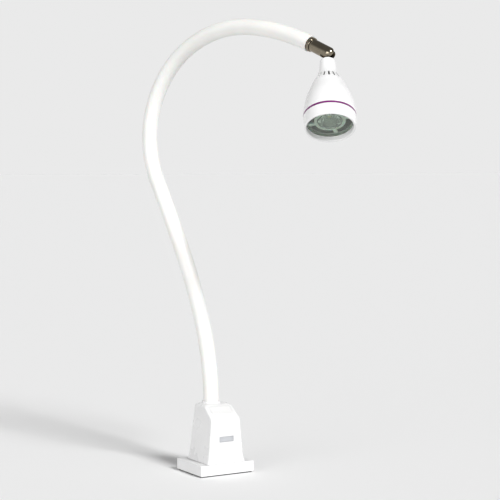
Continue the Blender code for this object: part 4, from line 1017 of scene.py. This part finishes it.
lens_plastic = finish("lens_plastic", (0.86, 0.93, 0.88), 0.06, Transmission_Weight=0.85, IOR=1.49)
tone(lens_plastic, (0.84, 0.92, 0.865), (0.88, 0.94, 0.895), 30)
gloss(lens_plastic, 0.04, 0.10, 90)
grain(lens_plastic, 900, 0.00003, strength=0.15)
LENS_OUT, LENS_DEEP, FLANGE_THICK, FLANGE_STEP = 17.4 * mm, 19 * mm, 2 * mm, 0.9 * mm
lens_back = from_rim(holder_front + LENS_DEEP)
lens_profile = [(0, front_level), (LENS_OUT, front_level), (LENS_OUT, front_level - FLANGE_THICK)]
for i in range(1, 17):
    u = i / 16
    lens_profile.append((LENS_OUT - FLANGE_STEP - (LENS_OUT - 8.9 * mm) * u ** 1.6,
                         front_level - FLANGE_THICK - (LENS_DEEP - FLANGE_THICK) * u))
lens_profile += [(5.5 * mm, lens_back), (5.0 * mm, lens_back + 5 * mm), (3 * mm, lens_back + 6.5 * mm),
                 (0, lens_back + 7 * mm)]
lens = piece("collimator", lathe(lens_profile), lens_plastic, "head", head_place, crease=30)
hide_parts("collimator_lens")
print("window and lens across, mm:", round(2 * glass_radius / mm, 1), round(2 * LENS_OUT / mm, 1))

# %% [markdown]
# ## Parts inside
#
# The screws, the post, the switch works, the driver, the steel core of the arm and the cooling of the
# head are already true to shape in the working model. They keep their meshes and only get a finish each,
# chosen by what the part is made of. A table of materials and the names they belong to is shorter and
# easier to check than a block of code for each.

# %% Finishes for the parts inside
zinc = finish("zinc_steel", (0.56, 0.56, 0.57), 0.32, 1.0)
tone(zinc, (0.51, 0.51, 0.52), (0.61, 0.61, 0.63), 150)
gloss(zinc, 0.24, 0.42, 380)
grain(zinc, 2200, 0.00004)
turned_steel = finish("turned_steel", (0.50, 0.50, 0.51), 0.30, 1.0)
tone(turned_steel, (0.46, 0.46, 0.47), (0.55, 0.55, 0.56), 40, (1, 1, 8))
gloss(turned_steel, 0.22, 0.38, 90, (1, 1, 12))
grain(turned_steel, 500, 0.00004, stretch=(1, 1, 10))
lead_jacket = finish("lead_jacket", (0.02, 0.02, 0.02), 0.5)
tone(lead_jacket, (0.016, 0.016, 0.016), (0.03, 0.03, 0.031), 120)
gloss(lead_jacket, 0.42, 0.6, 260)
grain(lead_jacket, 1800, 0.0001)
resist_green = finish("resist_green", (0.02, 0.17, 0.06), 0.38)
tone(resist_green, (0.016, 0.14, 0.05), (0.03, 0.2, 0.075), 90)
gloss(resist_green, 0.3, 0.46, 300)
grain(resist_green, 900, 0.00006)
resist_white = finish("resist_white", (0.80, 0.80, 0.78), 0.4)
tone(resist_white, (0.77, 0.77, 0.75), (0.83, 0.83, 0.81), 90)
gloss(resist_white, 0.34, 0.48, 240)
grain(resist_white, 1200, 0.00005)
phosphor = finish("phosphor", (0.86, 0.70, 0.16), 0.45)
tone(phosphor, (0.82, 0.66, 0.13), (0.90, 0.75, 0.20), 400)
gloss(phosphor, 0.38, 0.55, 600)
grain(phosphor, 4000, 0.00004)
cast_alloy = finish("cast_alloy", (0.62, 0.62, 0.63), 0.48, 1.0)
tone(cast_alloy, (0.57, 0.57, 0.58), (0.67, 0.67, 0.68), 80)
gloss(cast_alloy, 0.4, 0.58, 200)
grain(cast_alloy, 1300, 0.0001)
nylon = finish("nylon", (0.76, 0.75, 0.69), 0.5, Subsurface_Weight=0.2, Subsurface_Scale=0.002)
tone(nylon, (0.73, 0.72, 0.66), (0.79, 0.78, 0.73), 110)
gloss(nylon, 0.44, 0.58, 260)
grain(nylon, 1600, 0.00006)

INSIDE = {
    zinc: ("base_screw_1", "base_screw_2", "base_screw_3", "base_screw_4", "post_bolt", "board_screw_1",
           "board_screw_2", "stud_nut"),
    turned_steel: ("neck_post", "lower_fitting", "upper_fitting"),
    spring_steel: tuple(f"neck_core_{k}" for k in range(1, 8)),
    lead_jacket: ("base_lead", "head_lead", *(f"neck_lead_{k}" for k in range(1, 8))),
    black_moulding: ("driver_block", "switch_body"),
    resist_green: ("driver_board", "switch_carrier"),
    resist_white: ("led_board",),
    phosphor: ("led_chip",),
    cast_alloy: ("heat_sink",),
    nylon: ("ball_pad", "neck_bushing"),
}
for mat, names in INSIDE.items():
    for name in names:
        node = frame["nodes"][name]
        node.data.materials.clear()
        node.data.materials.append(mat)
shown = [n for n, o in frame["nodes"].items() if not o.hide_render]
missed = sorted(set(shown) - {name for names in INSIDE.values() for name in names})
print("kept from the working model:", len(shown), "without a finish:", missed)

# %% [markdown]
# ## Check the size
#
# The last cell compares the box of the finished light with the box kept at the start. Rounding an edge or
# adding a groove must never make the light bigger than the part it stands for.

# %% Size
light_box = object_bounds()
sides = zip(cad_box[0], light_box[0], cad_box[1], light_box[1])
grown = [round(max(c0 - l0, l1 - c1) / mm, 2) for c0, l0, c1, l1 in sides]
print("growth over the working model on each axis, mm:", grown)
